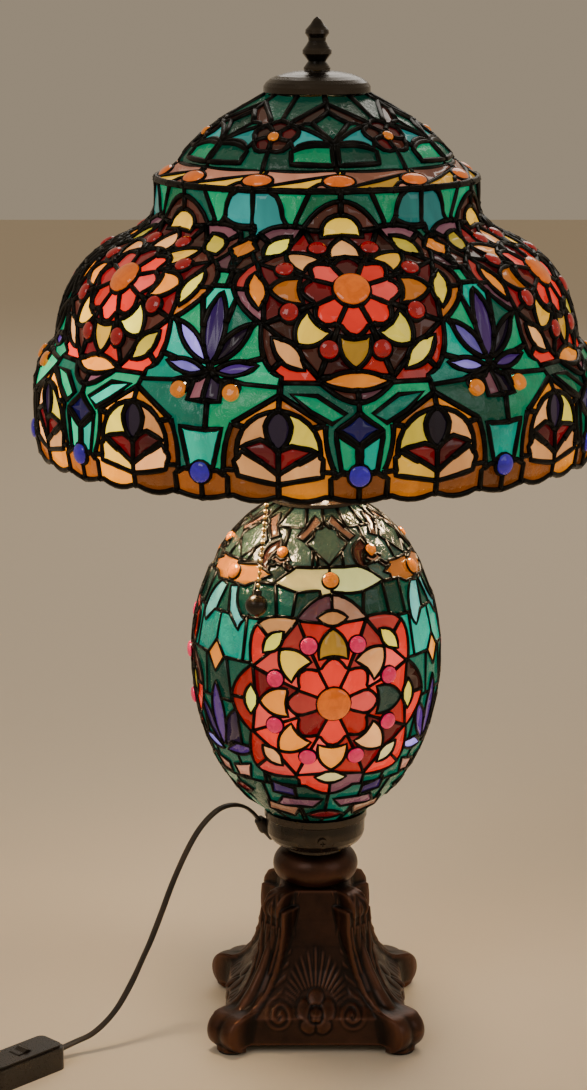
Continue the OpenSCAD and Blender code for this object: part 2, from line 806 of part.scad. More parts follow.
// A domed cap with a turned-down rim, above the shade's top edge
module vase_cap() {
    boss = 9;
    dome = curve([cap_r, cap_z + 4], [cap_r - 4, cap_z + cap_h - 2], [boss, cap_z + cap_h], 6);
    under = curve([boss, cap_z + cap_h - cap_t], [cap_r - 6, cap_z + cap_h - 4],
        [cap_r - cap_t, cap_z + 4], 6);
    color("#201c18") rotate_extrude($fn = 96) polygon(concat(
        [[cap_r - cap_t, cap_z], [cap_r, cap_z]], dome,
        [[stud_bore_r, cap_z + cap_h], [stud_bore_r, cap_z + cap_h - 4],
            [boss - 1, cap_z + cap_h - 4]],
        under));
}

module finial() {
    z = finial_z;
    h = finial_h;
    color("#1a1613") difference() {
        rotate_extrude() polygon([[0, z], [9.5, z], [9.5, z + 1.5], [6.3, z + 0.16 * h],
            [7.6, z + 0.21 * h], [finial_r, z + 0.3 * h], [finial_r, z + 0.37 * h],
            [7.6, z + 0.47 * h], [6.1, z + 0.54 * h], [6.4, z + 0.6 * h], [8.5, z + 0.68 * h],
            [8.2, z + 0.75 * h], [4.6, z + 0.86 * h], [2.4, z + 0.95 * h], [0, z + h]]);
        translate([0, 0, z - 1]) cylinder(r = stud_bore_r, h = 15);
    }
}

module shade_top_ring() {
    low = shade_top_z - shade_wall - 0.4;
    color("#6a5436") translate([0, 0, low]) difference() {
        cylinder(r = opening_r - 2.4, h = 2);
        translate([0, 0, -1]) cylinder(r = opening_r - 9, h = 4);
    }
}

module shade_crown() {
    color("#0f6e54") difference() {
        shell(crown_line, shade_wall, pattern_az);
        crown_spots() drill(crown_jewel_r, shade_wall);
    }
}

module shade_belt() {
    color("#d8a070") difference() {
        shell(belt_line, shade_wall, pattern_az + 15, true);
        belt_spots() drill(belt_jewel_r, shade_wall);
    }
}

module shade_neck() {
    color("#2aa08a") shell(neck_line, shade_wall, pattern_az + 30);
}

module shade_dome() {
    color("#b03028") difference() {
        shell(dome_line, shade_wall, pattern_az + 30);
        rosette_spots(dome_line, rosette_z, shade_folds) drill(centre_r, shade_wall);
        ruby_spots(dome_line, rosette_z, shade_folds) drill(ruby_r, shade_wall);
    }
}

module shade_skirt() {
    color("#e0902c") difference() {
        shell(skirt_line, shade_wall, pattern_az + 15);
        rim_spots() drill(rim_jewel_r, shade_wall);
        bud_spots() drill(bud_jewel_r, shade_wall);
    }
}

module shade_crown_jewels() {
    color("#d88a20") crown_spots() cabochon(crown_jewel_r, shade_wall, 2);
}

module shade_belt_jewels() {
    color("#3a18c8") belt_spots() cabochon(belt_jewel_r, shade_wall, 2.4);
}

module shade_rosette_centres() {
    color("#c86a18") rosette_spots(dome_line, rosette_z, shade_folds)
        cabochon(centre_r, shade_wall, 3);
}

module shade_ruby_jewels() {
    color("#c81430") ruby_spots(dome_line, rosette_z, shade_folds)
        cabochon(ruby_r, shade_wall, 2.4);
}

module shade_bud_jewels() {
    color("#f0b428") bud_spots() cabochon(bud_jewel_r, shade_wall, 2);
}

module shade_rim_jewels() {
    color("#3a18c8") rim_spots() cabochon(rim_jewel_r, shade_wall, 2.6);
}

module power_cord() {
    color("#5a4028") flat_cord(cord_route);
}

module cord_tail() {
    color("#5a4028") flat_cord(tail_route);
}

module plug_lead() {
    color("#5a4028") flat_cord(lead_route);
}

module in_switch() {
    translate(switch_at) rotate([0, 0, switch_turn]) children();
}

// The round pocket and the pin holes that the rocker turns in
module rocker_pocket() {
    translate([0, 0, rocker_z]) rotate([90, 0, 0]) {
        cylinder(r = rocker_r + 0.35, h = rocker_w + 0.8, center = true);
        cylinder(r = 1.5 + 0.06, h = rocker_w + 5, center = true);
    }
}

module switch_base() {
    color("#3b2a1c") in_switch() difference() {
        linear_extrude(port_z) rounded_plan(switch_len, switch_w, 6);
        rocker_pocket();
        for (x = [-1, 1]) translate([x * (switch_len / 2 - 12), 0, -1]) {
            cylinder(r = 1.6, h = port_z + 2);
            cylinder(r = 3.2, h = 3);
        }
    }
}

module switch_cover() {
    color("#3b2a1c") in_switch() difference() {
        translate([0, 0, port_z]) union() {
            linear_extrude(switch_h - port_z - 2) rounded_plan(switch_len, switch_w, 6);
            linear_extrude(switch_h - port_z) rounded_plan(switch_len - 4, switch_w - 4, 5);
        }
        rocker_pocket();
        for (x = [-1, 1]) translate([x * (switch_len / 2 - 12), 0, port_z - 1])
            cylinder(r = 1.6, h = 7);
    }
}

module switch_rocker() {
    color("#17110c") in_switch() translate([0, 0, rocker_z]) rotate([0, rocker_rest, 0])
        rotate([90, 0, 0]) {
            linear_extrude(rocker_w, center = true) intersection() {
                circle(rocker_r);
                polygon([[-10, -10], [10, -10], [10, 8.4], [0, 6.3], [-10, 8.4]]);
            }
            cylinder(r = 1.5, h = rocker_w + 4, center = true);
        }
}

module switch_screws() {
    color("#9a9c9e") in_switch() for (x = [-1, 1])
        translate([x * (switch_len / 2 - 12), 0, 0.4]) {
            cylinder(r = 3, h = 1.5);
            cylinder(r = 1.5, h = port_z + 4);
        }
}

module cord_coil() {
    color("#5a4028") translate(coil_at + [0, 0, tie_t]) rotate_extrude()
        translate([coil_in, 0]) square([coil_out - coil_in, coil_h]);
}

// A strap round the coil's section
module coil_tie() {
    color("#141312") translate(coil_at + [0, (coil_in + coil_out) / 2, tie_t + coil_h / 2])
        difference() {
            cube([tie_w, coil_out - coil_in + 2 * tie_t + 1.4, coil_h + 2 * tie_t], center = true);
            cube([tie_w + 2, coil_out - coil_in + 1.4, coil_h], center = true);
        }
}

module plug_body() {
    color("#4a3420") translate(plug_at) difference() {
        union() {
            translate([-plug_w / 2, 8, 0]) cube([plug_w, plug_len - 8, plug_t]);
            translate([-6, 0, 2]) cube([12, 9, plug_t - 4]);
        }
        for (x = [-6.35, 6.35]) translate([x - 0.85, plug_len - 6, plug_t / 2 - 3.3])
            cube([1.7, 8, 6.6]);
    }
}

module plug_blades() {
    color("#c9b98a") translate(plug_at) for (x = [-6.35, 6.35])
        translate([x - 0.75, plug_len - 6, plug_t / 2 - 3.15]) cube([1.5, 22, 6.3]);
}

foot_pads();
base_casting();
base_washer();
base_nut();
lamp_pipe();
neck_cushion();
fitter_cup();
fitter_nut();
fitter_screws();
cord_bushing();
egg_shell();
egg_rosette_centres();
egg_ruby_jewels();
egg_belt_jewels();
egg_crown_jewels();
egg_top_cap();
egg_lock_nut();
egg_socket();
egg_bulb();
inner_wires();
cluster_body();
socket_caps();
socket_shells();
left_bulb();
right_bulb();
chain_spouts();
left_pull_chain();
left_pull_ball();
right_pull_chain();
right_pull_ball();
shade_riser();
shade_rest();
vase_cap();
finial();
shade_top_ring();
shade_crown();
shade_belt();
shade_neck();
shade_dome();
shade_skirt();
shade_crown_jewels();
shade_belt_jewels();
shade_rosette_centres();
shade_ruby_jewels();
shade_bud_jewels();
shade_rim_jewels();
power_cord();
switch_base();
switch_cover();
switch_rocker();
switch_screws();
cord_tail();
cord_coil();
coil_tie();
plug_lead();
plug_body();
plug_blades();
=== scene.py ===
import math
import random

import bmesh
import bpy
import numpy as np
from mathutils import Matrix, Vector
from mathutils.bvhtree import BVHTree
from mathutils.geometry import delaunay_2d_cdt


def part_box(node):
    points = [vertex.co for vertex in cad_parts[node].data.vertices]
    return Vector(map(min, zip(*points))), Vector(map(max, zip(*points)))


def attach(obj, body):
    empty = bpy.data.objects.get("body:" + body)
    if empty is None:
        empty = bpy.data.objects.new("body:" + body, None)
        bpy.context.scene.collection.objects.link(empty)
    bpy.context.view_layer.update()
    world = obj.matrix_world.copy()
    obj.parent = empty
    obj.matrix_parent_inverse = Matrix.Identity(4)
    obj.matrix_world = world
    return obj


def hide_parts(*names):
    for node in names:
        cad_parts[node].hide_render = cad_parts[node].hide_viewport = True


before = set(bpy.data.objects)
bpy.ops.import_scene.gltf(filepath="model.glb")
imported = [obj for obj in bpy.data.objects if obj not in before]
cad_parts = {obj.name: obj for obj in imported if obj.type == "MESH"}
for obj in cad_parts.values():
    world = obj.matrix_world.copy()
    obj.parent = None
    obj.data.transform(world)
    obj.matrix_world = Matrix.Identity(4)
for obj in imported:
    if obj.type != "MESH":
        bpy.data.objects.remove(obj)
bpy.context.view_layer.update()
mm = 0.001
front = -90.0
patternTurn = 7.5
patternAz = front + patternTurn
bulbSpots = []  # filled below from the CAD parts, the places that light the glass from inside

cameraFacts = {
    "place": (-0.0166, -1.848, 0.798),
    "tilt": 77.0,  # degrees from straight down
    "lens": 85.1,
}


def makeCamera(facts):
    data = bpy.data.cameras.new("camera")
    data.lens = facts["lens"]
    data.sensor_width = 36.0
    camera = bpy.data.objects.new("camera", data)
    camera.location = facts["place"]
    camera.rotation_euler = (math.radians(facts["tilt"]), 0, 0)
    bpy.context.collection.objects.link(camera)
    bpy.context.scene.camera = camera
    print("camera placed")


makeCamera(cameraFacts)


def newObject(name, bm, materials=(), smooth=True):
    mesh = bpy.data.meshes.new(name)
    bm.to_mesh(mesh)
    bm.free()
    for material in materials:
        mesh.materials.append(material)
    if smooth:
        mesh.shade_smooth()
    piece = bpy.data.objects.new(name, mesh)
    bpy.context.collection.objects.link(piece)
    return piece


def stand(piece, body, slotName, *nodes):
    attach(piece, body)
    if nodes:
        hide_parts(*nodes)
    return piece


def nodeMaterial(name):
    material = bpy.data.materials.new(name)
    material.use_nodes = True
    tree = material.node_tree
    tree.nodes.clear()
    out = tree.nodes.new("ShaderNodeOutputMaterial")
    shader = tree.nodes.new("ShaderNodeBsdfPrincipled")
    tree.links.new(shader.outputs[0], out.inputs[0])
    return material, tree, shader


def objectPlace(tree, scale=(1, 1, 1)):
    coords = tree.nodes.new("ShaderNodeTexCoord")
    mapping = tree.nodes.new("ShaderNodeMapping")
    mapping.inputs["Scale"].default_value = scale
    tree.links.new(coords.outputs["Object"], mapping.inputs[0])
    return mapping.outputs[0]


def noiseNode(tree, place, scale, detail=3.0, rough=0.5, distort=0.0):
    node = tree.nodes.new("ShaderNodeTexNoise")
    node.inputs["Scale"].default_value = scale
    node.inputs["Detail"].default_value = detail
    node.inputs["Roughness"].default_value = rough
    node.inputs["Distortion"].default_value = distort
    tree.links.new(place, node.inputs["Vector"])
    return node.outputs[0]


def ramp(tree, value, stops):
    node = tree.nodes.new("ShaderNodeValToRGB")
    while len(node.color_ramp.elements) < len(stops):
        node.color_ramp.elements.new(0.5)
    for element, (place, colour) in zip(node.color_ramp.elements, stops):
        element.position = place
        element.color = (*colour, 1.0) if len(colour) == 3 else colour
    tree.links.new(value, node.inputs[0])
    return node.outputs[0]


def mixColour(tree, share, first, second, blend="MIX"):
    node = tree.nodes.new("ShaderNodeMix")
    node.data_type = "RGBA"
    node.blend_type = blend
    for socket, value in ((node.inputs[0], share), (node.inputs[6], first), (node.inputs[7], second)):
        if isinstance(value, bpy.types.NodeSocket):
            tree.links.new(value, socket)
        else:
            socket.default_value = value if isinstance(value, float) else (*value, 1.0)[:4]
    return node.outputs[2]


def mathNode(tree, operation, first, second=0.0):
    node = tree.nodes.new("ShaderNodeMath")
    node.operation = operation
    for socket, value in ((node.inputs[0], first), (node.inputs[1], second)):
        if isinstance(value, bpy.types.NodeSocket):
            tree.links.new(value, socket)
        else:
            socket.default_value = value
    return node.outputs[0]


def mapRange(tree, value, low, high):
    node = tree.nodes.new("ShaderNodeMapRange")
    node.inputs["To Min"].default_value = low
    node.inputs["To Max"].default_value = high
    tree.links.new(value, node.inputs[0])
    return node.outputs[0]


def bump(tree, shader, height, strength, distance):
    node = tree.nodes.new("ShaderNodeBump")
    node.inputs["Strength"].default_value = strength
    node.inputs["Distance"].default_value = distance
    tree.links.new(height, node.inputs["Height"])
    tree.links.new(node.outputs[0], shader.inputs["Normal"])


def artGlass(name, ripple, streak, rough):
    material, tree, shader = nodeMaterial(name)
    tint = tree.nodes.new("ShaderNodeVertexColor")
    tint.layer_name = "tint"
    glow = tree.nodes.new("ShaderNodeAttribute")
    glow.attribute_name = "glow"
    place = objectPlace(tree, (1.0, 1.0, 0.55))
    streaks = noiseNode(tree, place, 26.0, 4.0, 0.6, 1.2)
    clouds = noiseNode(tree, objectPlace(tree), 11.0, 2.0)
    shade = mapRange(tree, streaks, 1.0 - streak, 1.0 + streak)
    cloudShade = mapRange(tree, clouds, 0.75, 1.25)
    level = mathNode(tree, "MULTIPLY", shade, cloudShade)
    pale = mixColour(tree, mapRange(tree, streaks, -0.15, 0.42), tint.outputs[0], (1.0, 0.93, 0.75), "SOFT_LIGHT")
    coloured = mixColour(tree, 1.0, pale, level, "MULTIPLY")
    body = mixColour(tree, 0.72, coloured, (0.008, 0.008, 0.008))
    tree.links.new(body, shader.inputs["Base Color"])
    # painted glow: the glass gives off its own light, as strong as the glow attribute, in place of the bulbs shining
    # through it
    tree.links.new(coloured, shader.inputs["Emission Color"])
    tree.links.new(glow.outputs["Fac"], shader.inputs["Emission Strength"])
    grain = noiseNode(tree, objectPlace(tree), ripple["scale"], 3.0, 0.55, 0.6)
    roughness = mapRange(tree, grain, rough * 0.6, rough * 1.5)
    tree.links.new(roughness, shader.inputs["Roughness"])
    shader.inputs["Coat Weight"].default_value = 0.3
    shader.inputs["Coat Roughness"].default_value = 0.08
    bump(tree, shader, grain, ripple["strength"], ripple["depth"])
    return material


def solderMetal(name, dark, pale, paleShare, rough):
    material, tree, shader = nodeMaterial(name)
    patches = noiseNode(tree, objectPlace(tree), 60.0, 5.0, 0.6)
    fine = noiseNode(tree, objectPlace(tree), 420.0, 3.0)
    colour = ramp(tree, patches, [(1 - paleShare - 0.15, dark), (1 - paleShare + 0.15, pale)])
    tree.links.new(colour, shader.inputs["Base Color"])
    shader.inputs["Metallic"].default_value = 0.8
    tree.links.new(mapRange(tree, patches, rough * 0.7, rough * 1.35), shader.inputs["Roughness"])
    bump(tree, shader, fine, 0.35, 0.0006)
    return material


glassColours = {
    "emerald": (0.0, 0.34, 0.17),
    "teal": (0.0, 0.42, 0.30),
    "deepGreen": (0.0, 0.13, 0.085),
    "mistGreen": (0.09, 0.15, 0.11),
    "turquoise": (0.05, 0.36, 0.34),
    "aqua": (0.20, 0.66, 0.62),
    "orange": (0.90, 0.33, 0.05),
    "golden": (0.95, 0.55, 0.08),
    "yellow": (0.95, 0.75, 0.12),
    "cream": (0.98, 0.80, 0.34),
    "peach": (0.86, 0.42, 0.17),
    "pinkBeige": (0.55, 0.27, 0.19),
    "amber": (0.80, 0.30, 0.015),
    "amberBrown": (0.30, 0.10, 0.015),
    "red": (0.78, 0.05, 0.03),
    "rose": (0.80, 0.11, 0.09),
    "maroon": (0.13, 0.010, 0.014),
    "darkRed": (0.25, 0.012, 0.018),
    "brown": (0.10, 0.035, 0.025),
    "mauve": (0.20, 0.09, 0.11),
    "purple": (0.10, 0.045, 0.20),
    "darkPurple": (0.035, 0.020, 0.05),
    "lavender": (0.38, 0.30, 0.80),
    "navy": (0.020, 0.016, 0.12),
    "tan": (0.55, 0.30, 0.19),
}
rippled = {"emerald", "teal", "deepGreen", "mistGreen", "amber", "amberBrown"}
opalGlass = artGlass("opalGlass", {"scale": 55.0, "strength": 0.25, "depth": 0.0012}, 0.34, 0.16)
rippleGlass = artGlass("rippleGlass", {"scale": 210.0, "strength": 0.75, "depth": 0.002}, 0.55, 0.10)
darkSolder = solderMetal("darkSolder", (0.006, 0.006, 0.006), (0.035, 0.03, 0.026), 0.35, 0.34)
wornSolder = solderMetal("wornSolder", (0.05, 0.042, 0.032), (0.25, 0.21, 0.15), 0.55, 0.38)
print("glass and solder materials made")

def castRadii(nodes, heights, spread=7):
    # the outer radius of some CAD nodes at each height, met from outside
    radii = []
    trees = []
    for node in nodes:
        bm = bmesh.new()
        bm.from_mesh(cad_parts[node].data)
        trees.append(BVHTree.FromBMesh(bm))
        bm.free()
    for z in heights:
        best = 0.0
        for k in range(spread):
            angle = math.radians(3.7 + 51.3 * k)
            way = Vector((math.cos(angle), math.sin(angle), 0))
            for tree in trees:
                hit = tree.ray_cast(way * 0.6 + Vector((0, 0, z * mm)), -way)
                if hit[0] is not None:
                    best = max(best, math.hypot(hit[0].x, hit[0].y) / mm)
        radii.append(best)
    return radii


class TurnedLine:
    # an upright outline that runs downwards, in millimetres, measured along its length

    def __init__(self, nodes, tailOut=4.0):
        top = max(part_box(n)[1][2] for n in nodes) / mm
        low = min(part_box(n)[0][2] for n in nodes) / mm
        count = max(8, int((top - low) / 1.6))
        heights = [top - 0.04 - (top - low - 0.08) * i / count for i in range(count + 1)]
        radii = castRadii(nodes, heights)
        self.points = [(r, z) for r, z in zip(radii, heights) if r > 0]
        self.points[0] = (self.points[0][0], top)
        last, before = self.points[-1], self.points[-4]
        run = math.hypot(last[0] - before[0], last[1] - before[1])
        self.points[-1] = (last[0], low)
        self.tail = ((last[0] - before[0]) / run, (last[1] - before[1]) / run)
        self.lengths = [0.0]
        for a, b in zip(self.points, self.points[1:]):
            self.lengths.append(self.lengths[-1] + math.hypot(b[0] - a[0], b[1] - a[1]))
        self.length = self.lengths[-1]

    def at(self, s):
        if s >= self.length:
            last = self.points[-1]
            extra = s - self.length
            return last[0] + self.tail[0] * extra, last[1] + self.tail[1] * extra
        s = max(0.0, s)
        low, high = 0, len(self.lengths) - 1
        while high - low > 1:
            middle = (low + high) // 2
            if self.lengths[middle] <= s:
                low = middle
            else:
                high = middle
        a, b = self.points[low], self.points[high]
        t = (s - self.lengths[low]) / max(1e-6, self.lengths[high] - self.lengths[low])
        return a[0] + (b[0] - a[0]) * t, a[1] + (b[1] - a[1]) * t

    def cut(self, s):
        # ends the outline at a length, with its tail straight down
        end = self.at(s)
        self.points = [p for p, l in zip(self.points, self.lengths) if l < s - 0.2] + [end]
        self.lengths = [l for l in self.lengths if l < s - 0.2] + [s]
        self.length = s
        self.tail = (0.0, -1.0)

    def outward(self, s):
        a, b = self.at(s - 2.5), self.at(s + 2.5)
        run = math.hypot(b[0] - a[0], b[1] - a[1]) or 1.0
        return -(b[1] - a[1]) / run, (b[0] - a[0]) / run

    def reach(self, z):
        # length along the outline down to a height
        for i in range(len(self.points) - 1):
            if self.points[i + 1][1] <= z:
                a, b = self.points[i], self.points[i + 1]
                return self.lengths[i] + (self.lengths[i + 1] - self.lengths[i]) * (a[1] - z) / max(1e-6, a[1] - b[1])
        return self.length

    def spot(self, s, az, lift=0.0):
        # a point on the surface, in metres, with az in degrees from +X
        r, z = self.at(s)
        nr, nz = self.outward(s)
        r, z = r + nr * lift, z + nz * lift
        a = math.radians(az)
        return Vector((r * math.cos(a) * mm, r * math.sin(a) * mm, z * mm))

    def normal(self, s, az):
        nr, nz = self.outward(s)
        a = math.radians(az)
        return Vector((nr * math.cos(a), nr * math.sin(a), nz))


def bent(points, step=4.0):
    # closed outline whose sides bulge outwards by the third value, a share of their length
    loop = []
    total = sum(a[0] * b[1] - b[0] * a[1] for a, b in zip(points, points[1:] + points[:1]))
    if total < 0:
        sides = [(p, q, p[2] if len(p) > 2 else 0.0) for p, q in zip(points, points[1:] + points[:1])]
        points = [(q[0], q[1], bulge) for p, q, bulge in reversed(sides)]
    for p, q in zip(points, points[1:] + points[:1]):
        bulge = p[2] if len(p) > 2 else 0.0
        dx, dy = q[0] - p[0], q[1] - p[1]
        size = math.hypot(dx, dy)
        count = max(1, math.ceil(size / step))
        for i in range(count):
            t = i / count
            push = 4 * t * (1 - t) * bulge
            loop.append((p[0] + dx * t + dy * push, p[1] + dy * t - dx * push))
    return loop


def disc(radius, count=16):
    return [(radius * math.cos(2 * math.pi * i / count), radius * math.sin(2 * math.pi * i / count))
            for i in range(count)]


def turned(loop, degrees, shift=(0.0, 0.0)):
    c, s = math.cos(math.radians(degrees)), math.sin(math.radians(degrees))
    return [(x * c - y * s + shift[0], x * s + y * c + shift[1]) for x, y in loop]


def put(shapes, az, s):
    # moves (tint, loop) pairs to an azimuth offset in degrees and a length along the outline
    return [(tint, az, s, loop) for tint, loop in shapes]


def beadTube(bm, path, radii, sides, closed, line):
    # sweeps a rounded bead along points (x, y, z) that carry their own outward direction
    rings = []
    count = len(path)
    for i, (point, out) in enumerate(path):
        after = path[(i + 1) % count][0] if closed or i < count - 1 else point
        before = path[i - 1][0] if closed or i > 0 else point
        way = (after - before).normalized() if (after - before).length > 1e-9 else Vector((0, 0, 1))
        side = way.cross(out)
        side = side.normalized() if side.length > 1e-6 else way.orthogonal().normalized()
        up = side.cross(way).normalized()
        ring = []
        for k in range(sides):
            angle = 2 * math.pi * (k + 0.5) / sides
            ring.append(bm.verts.new(point + (side * math.cos(angle) + up * math.sin(angle) * line["flat"]) * radii[i]))
        rings.append(ring)
    spans = list(zip(rings, rings[1:] + rings[:1])) if closed else list(zip(rings, rings[1:]))
    for a, b in spans:
        for k in range(sides):
            bm.faces.new((a[k], a[(k + 1) % sides], b[(k + 1) % sides], b[k]))
    if not closed:
        bm.faces.new(list(reversed(rings[0])))
        bm.faces.new(rings[-1])


def sectorCut(line, folds, shapes, bottom, grid, narrow):
    # one sector of the pattern as triangles: the planar points, the triangles and, for each, the
    # topmost shape over it and which neighbour's copy of that shape it is
    half = 180.0 / folds
    scale = math.radians(1.0) * max(line.at(line.length * k / 12)[0] for k in range(13)) * 0.8
    width = 2 * half * scale
    points, faces, owners = [], [], []

    def addLoop(loop, owner):
        area = sum(a[0] * b[1] - b[0] * a[1] for a, b in zip(loop, loop[1:] + loop[:1]))
        loop = loop if area > 0 else loop[::-1]
        start = len(points)
        points.extend(Vector(p) for p in loop)
        faces.append(list(range(start, start + len(loop))))
        owners.append(owner)

    across = max(4, round(width / 4.5))
    down = max(2, round(line.length / 4.5))
    edge = [(-width / 2 + width * i / across, 0.0) for i in range(across)]
    edge += [(width / 2, bottom(half) * i / down) for i in range(down)]
    edge += [(width / 2 - width * i / across, bottom(half - 2 * half * i / across)) for i in range(across)]
    edge += [(-width / 2, bottom(half) * (1 - i / down)) for i in range(down)]
    addLoop(edge, (-1, 0))
    for index, (tint, az, s, loop) in enumerate(shapes):
        for copy in (-1, 0, 1):
            spread = []
            for u, v in loop:
                y = s - v
                r = line.at(min(max(y, 0.0), line.length))[0]
                spread.append(((az + copy * 2 * half + math.degrees(u / r)) * scale, y))
            xs = [p[0] for p in spread]
            if max(xs) > -width / 2 + 0.01 and min(xs) < width / 2 - 0.01:
                addLoop(spread, (index, copy))
    rows = max(2, round(line.length / grid))
    columns = max(2, round(width / grid))
    for j in range(1, rows):
        for i in range(columns):
            x = -width / 2 + width * (i + 0.5) / columns
            points.append(Vector((x, line.length * j / rows)))
    verts, _, tris, _, _, _ = delaunay_2d_cdt(points, [], faces, 0, 0.02)
    tris = [list(tri) for tri in tris]
    middles = np.array([[sum(verts[v].x for v in tri) / 3, sum(verts[v].y for v in tri) / 3] for tri in tris])
    top = np.full(len(tris), -1)
    for number, face in enumerate(faces):
        top[insideLoop(middles, [points[i] for i in face])] = number
    inOutline = insideLoop(middles, [points[i] for i in faces[0]])
    kept = [[tri, owners[top[i]]] for i, tri in enumerate(tris) if inOutline[i]]
    mergeSlivers(verts, kept, shapes, width / 2, narrow)
    return [(v.x / scale, v.y) for v in verts], kept


def mergeSlivers(verts, kept, shapes, side, narrow):
    # a scrap narrower than the solder joins the piece that it shares the longest border with
    joined = {}
    for i, (tri, _) in enumerate(kept):
        for a, b in zip(tri, tri[1:] + tri[:1]):
            joined.setdefault((min(a, b), max(a, b)), []).append(i)
    for sweep in range(4):
        group = [-1] * len(kept)
        changed = False
        for start in range(len(kept)):
            if group[start] >= 0:
                continue
            owner = kept[start][1]
            if owner[0] >= 0 and shapes[owner[0]][0] is None:
                group[start] = start
                continue
            members, stack, area, border, edgeOn = [], [start], 0.0, {}, False
            group[start] = start
            while stack:
                i = stack.pop()
                members.append(i)
                tri = kept[i][0]
                a, b, c = (verts[v] for v in tri)
                area += abs((b.x - a.x) * (c.y - a.y) - (b.y - a.y) * (c.x - a.x)) / 2
                for p, q in zip(tri, tri[1:] + tri[:1]):
                    other = [k for k in joined[(min(p, q), max(p, q))] if k != i]
                    length = (verts[p] - verts[q]).length
                    if not other:
                        border["rim"] = border.get("rim", 0) + length
                        edgeOn = edgeOn or abs(abs(verts[p].x) - side) < 0.01
                    elif kept[other[0]][1] == owner:
                        if group[other[0]] < 0:
                            group[other[0]] = start
                            stack.append(other[0])
                    else:
                        theirs = kept[other[0]][1]
                        border[theirs] = border.get(theirs, 0) + length
            around = sum(border.values())
            if edgeOn or around <= 0 or (2 * area / around > narrow and area > narrow * narrow * 2):
                continue
            choices = {k: v for k, v in border.items() if k != "rim" and (k[0] < 0 or shapes[k[0]][0] is not None)}
            if choices:
                best = max(choices, key=choices.get)
                for i in members:
                    kept[i][1] = best
                changed = True
        if not changed:
            break


def insideLoop(spots, loop):
    # even-odd test of many points against one closed outline
    inside = np.zeros(len(spots), dtype=bool)
    for a, b in zip(loop, loop[1:] + loop[:1]):
        if a[1] == b[1]:
            continue
        crosses = (a[1] > spots[:, 1]) != (b[1] > spots[:, 1])
        inside ^= crosses & (spots[:, 0] < (b[0] - a[0]) * (spots[:, 1] - a[1]) / (b[1] - a[1]) + a[0])
    return inside


def leadedShell(name, line, facts, shapes, bottom=None):
    # cuts the pattern, wraps it round the outline in every sector, and makes the glass pieces and
    # the solder beads between them. Returns the glass object and the solder object.
    folds = facts["folds"]
    wave = bottom or (lambda az: line.length)
    flat, kept = sectorCut(line, folds, shapes, wave, facts["grid"], facts["narrow"])
    bm = bmesh.new()
    keyLayer = bm.faces.layers.int.new("key")
    tintLayer = bm.faces.layers.int.new("tintIndex")
    sunk = -facts["sunk"]
    names = list(glassColours)
    rng = random.Random(facts["seed"])
    for k in range(folds):
        base = facts["turn"] + 360.0 * k / folds
        made = {}
        for tri, (index, copy) in kept:
            tint = shapes[index][0] if index >= 0 else facts["ground"]
            if tint is None:
                tintIndex = -1
            else:
                tintIndex = names.index(tint)
            corners = []
            for v in tri:
                if v not in made:
                    made[v] = bm.verts.new(line.spot(flat[v][1], base + flat[v][0], sunk))
                corners.append(made[v])
            try:
                face = bm.faces.new(corners)
            except ValueError:
                continue
            face[keyLayer] = (index + 1) * 64 + (k + copy) % folds
            face[tintLayer] = tintIndex
    bmesh.ops.remove_doubles(bm, verts=bm.verts, dist=1e-5)
    for face in bm.faces:
        middle = face.calc_center_median()
        outway = Vector((middle.x, middle.y, 0.0))
        if face.normal.dot(outway + Vector((0, 0, (middle.z - facts["middleZ"] * mm)))) < 0:
            face.normal_flip()


    def isBorder(edge):
        keys = {f[keyLayer] for f in edge.link_faces}
        if len(keys) != 1 or len(edge.link_faces) > 1:
            return len(keys) > 1
        s = line.reach((edge.verts[0].co.z + edge.verts[1].co.z) / 2 / mm)
        return s < 1.5 or s > line.length - 6.0

    borders = [e for e in bm.edges if isBorder(e)]
    beads = makeBeads(name, bm, borders, line, facts)
    bmesh.ops.split_edges(bm, edges=borders)
    glass = finishGlass(name, bm, keyLayer, tintLayer, names, facts, rng)
    return glass, beads


def makeBeads(name, bm, borders, line, facts):
    wire = {}
    for edge in borders:
        a, b = edge.verts
        wire.setdefault(a, []).append(b)
        wire.setdefault(b, []).append(a)
    rng = random.Random(facts["seed"] + 1)
    done = set()
    bead = bmesh.new()
    starts = [v for v in wire if len(wire[v]) != 2] + [v for v in wire if len(wire[v]) == 2]

    def away(point):
        s = line.reach(point.z / mm)
        return line.normal(s, math.degrees(math.atan2(point.y, point.x)))

    for start in starts:
        for first in wire[start]:
            key = frozenset((start, first))
            if key in done:
                continue
            done.add(key)
            chain = [start, first]
            while len(wire[chain[-1]]) == 2:
                ahead = [v for v in wire[chain[-1]] if frozenset((chain[-1], v)) not in done]
                if not ahead:
                    break
                done.add(frozenset((chain[-1], ahead[0])))
                chain.append(ahead[0])
            closed = chain[0] is chain[-1] and len(chain) > 3
            if closed:
                chain.pop()
            spots = [v.co.copy() for v in chain]
            path = [spots[0]]
            for p in spots[1:-1]:
                if (p - path[-1]).length > 0.0016:
                    path.append(p)
            path.append(spots[-1])
            if len(path) > 2 and (path[-1] - path[-2]).length < 0.0008:
                path.pop(-2)
            closed = closed and len(path) > 2
            radii = []
            for i in range(len(path)):
                ends = 1.16 if not closed and i in (0, len(path) - 1) else 1.0
                radii.append(facts["bead"] * mm * ends * rng.uniform(0.93, 1.08))
            beadTube(bead, [(p, away(p)) for p in path], radii, 6, closed, facts)
    bmesh.ops.recalc_face_normals(bead, faces=bead.faces)
    return newObject(name + "Solder", bead, [facts["solder"]])


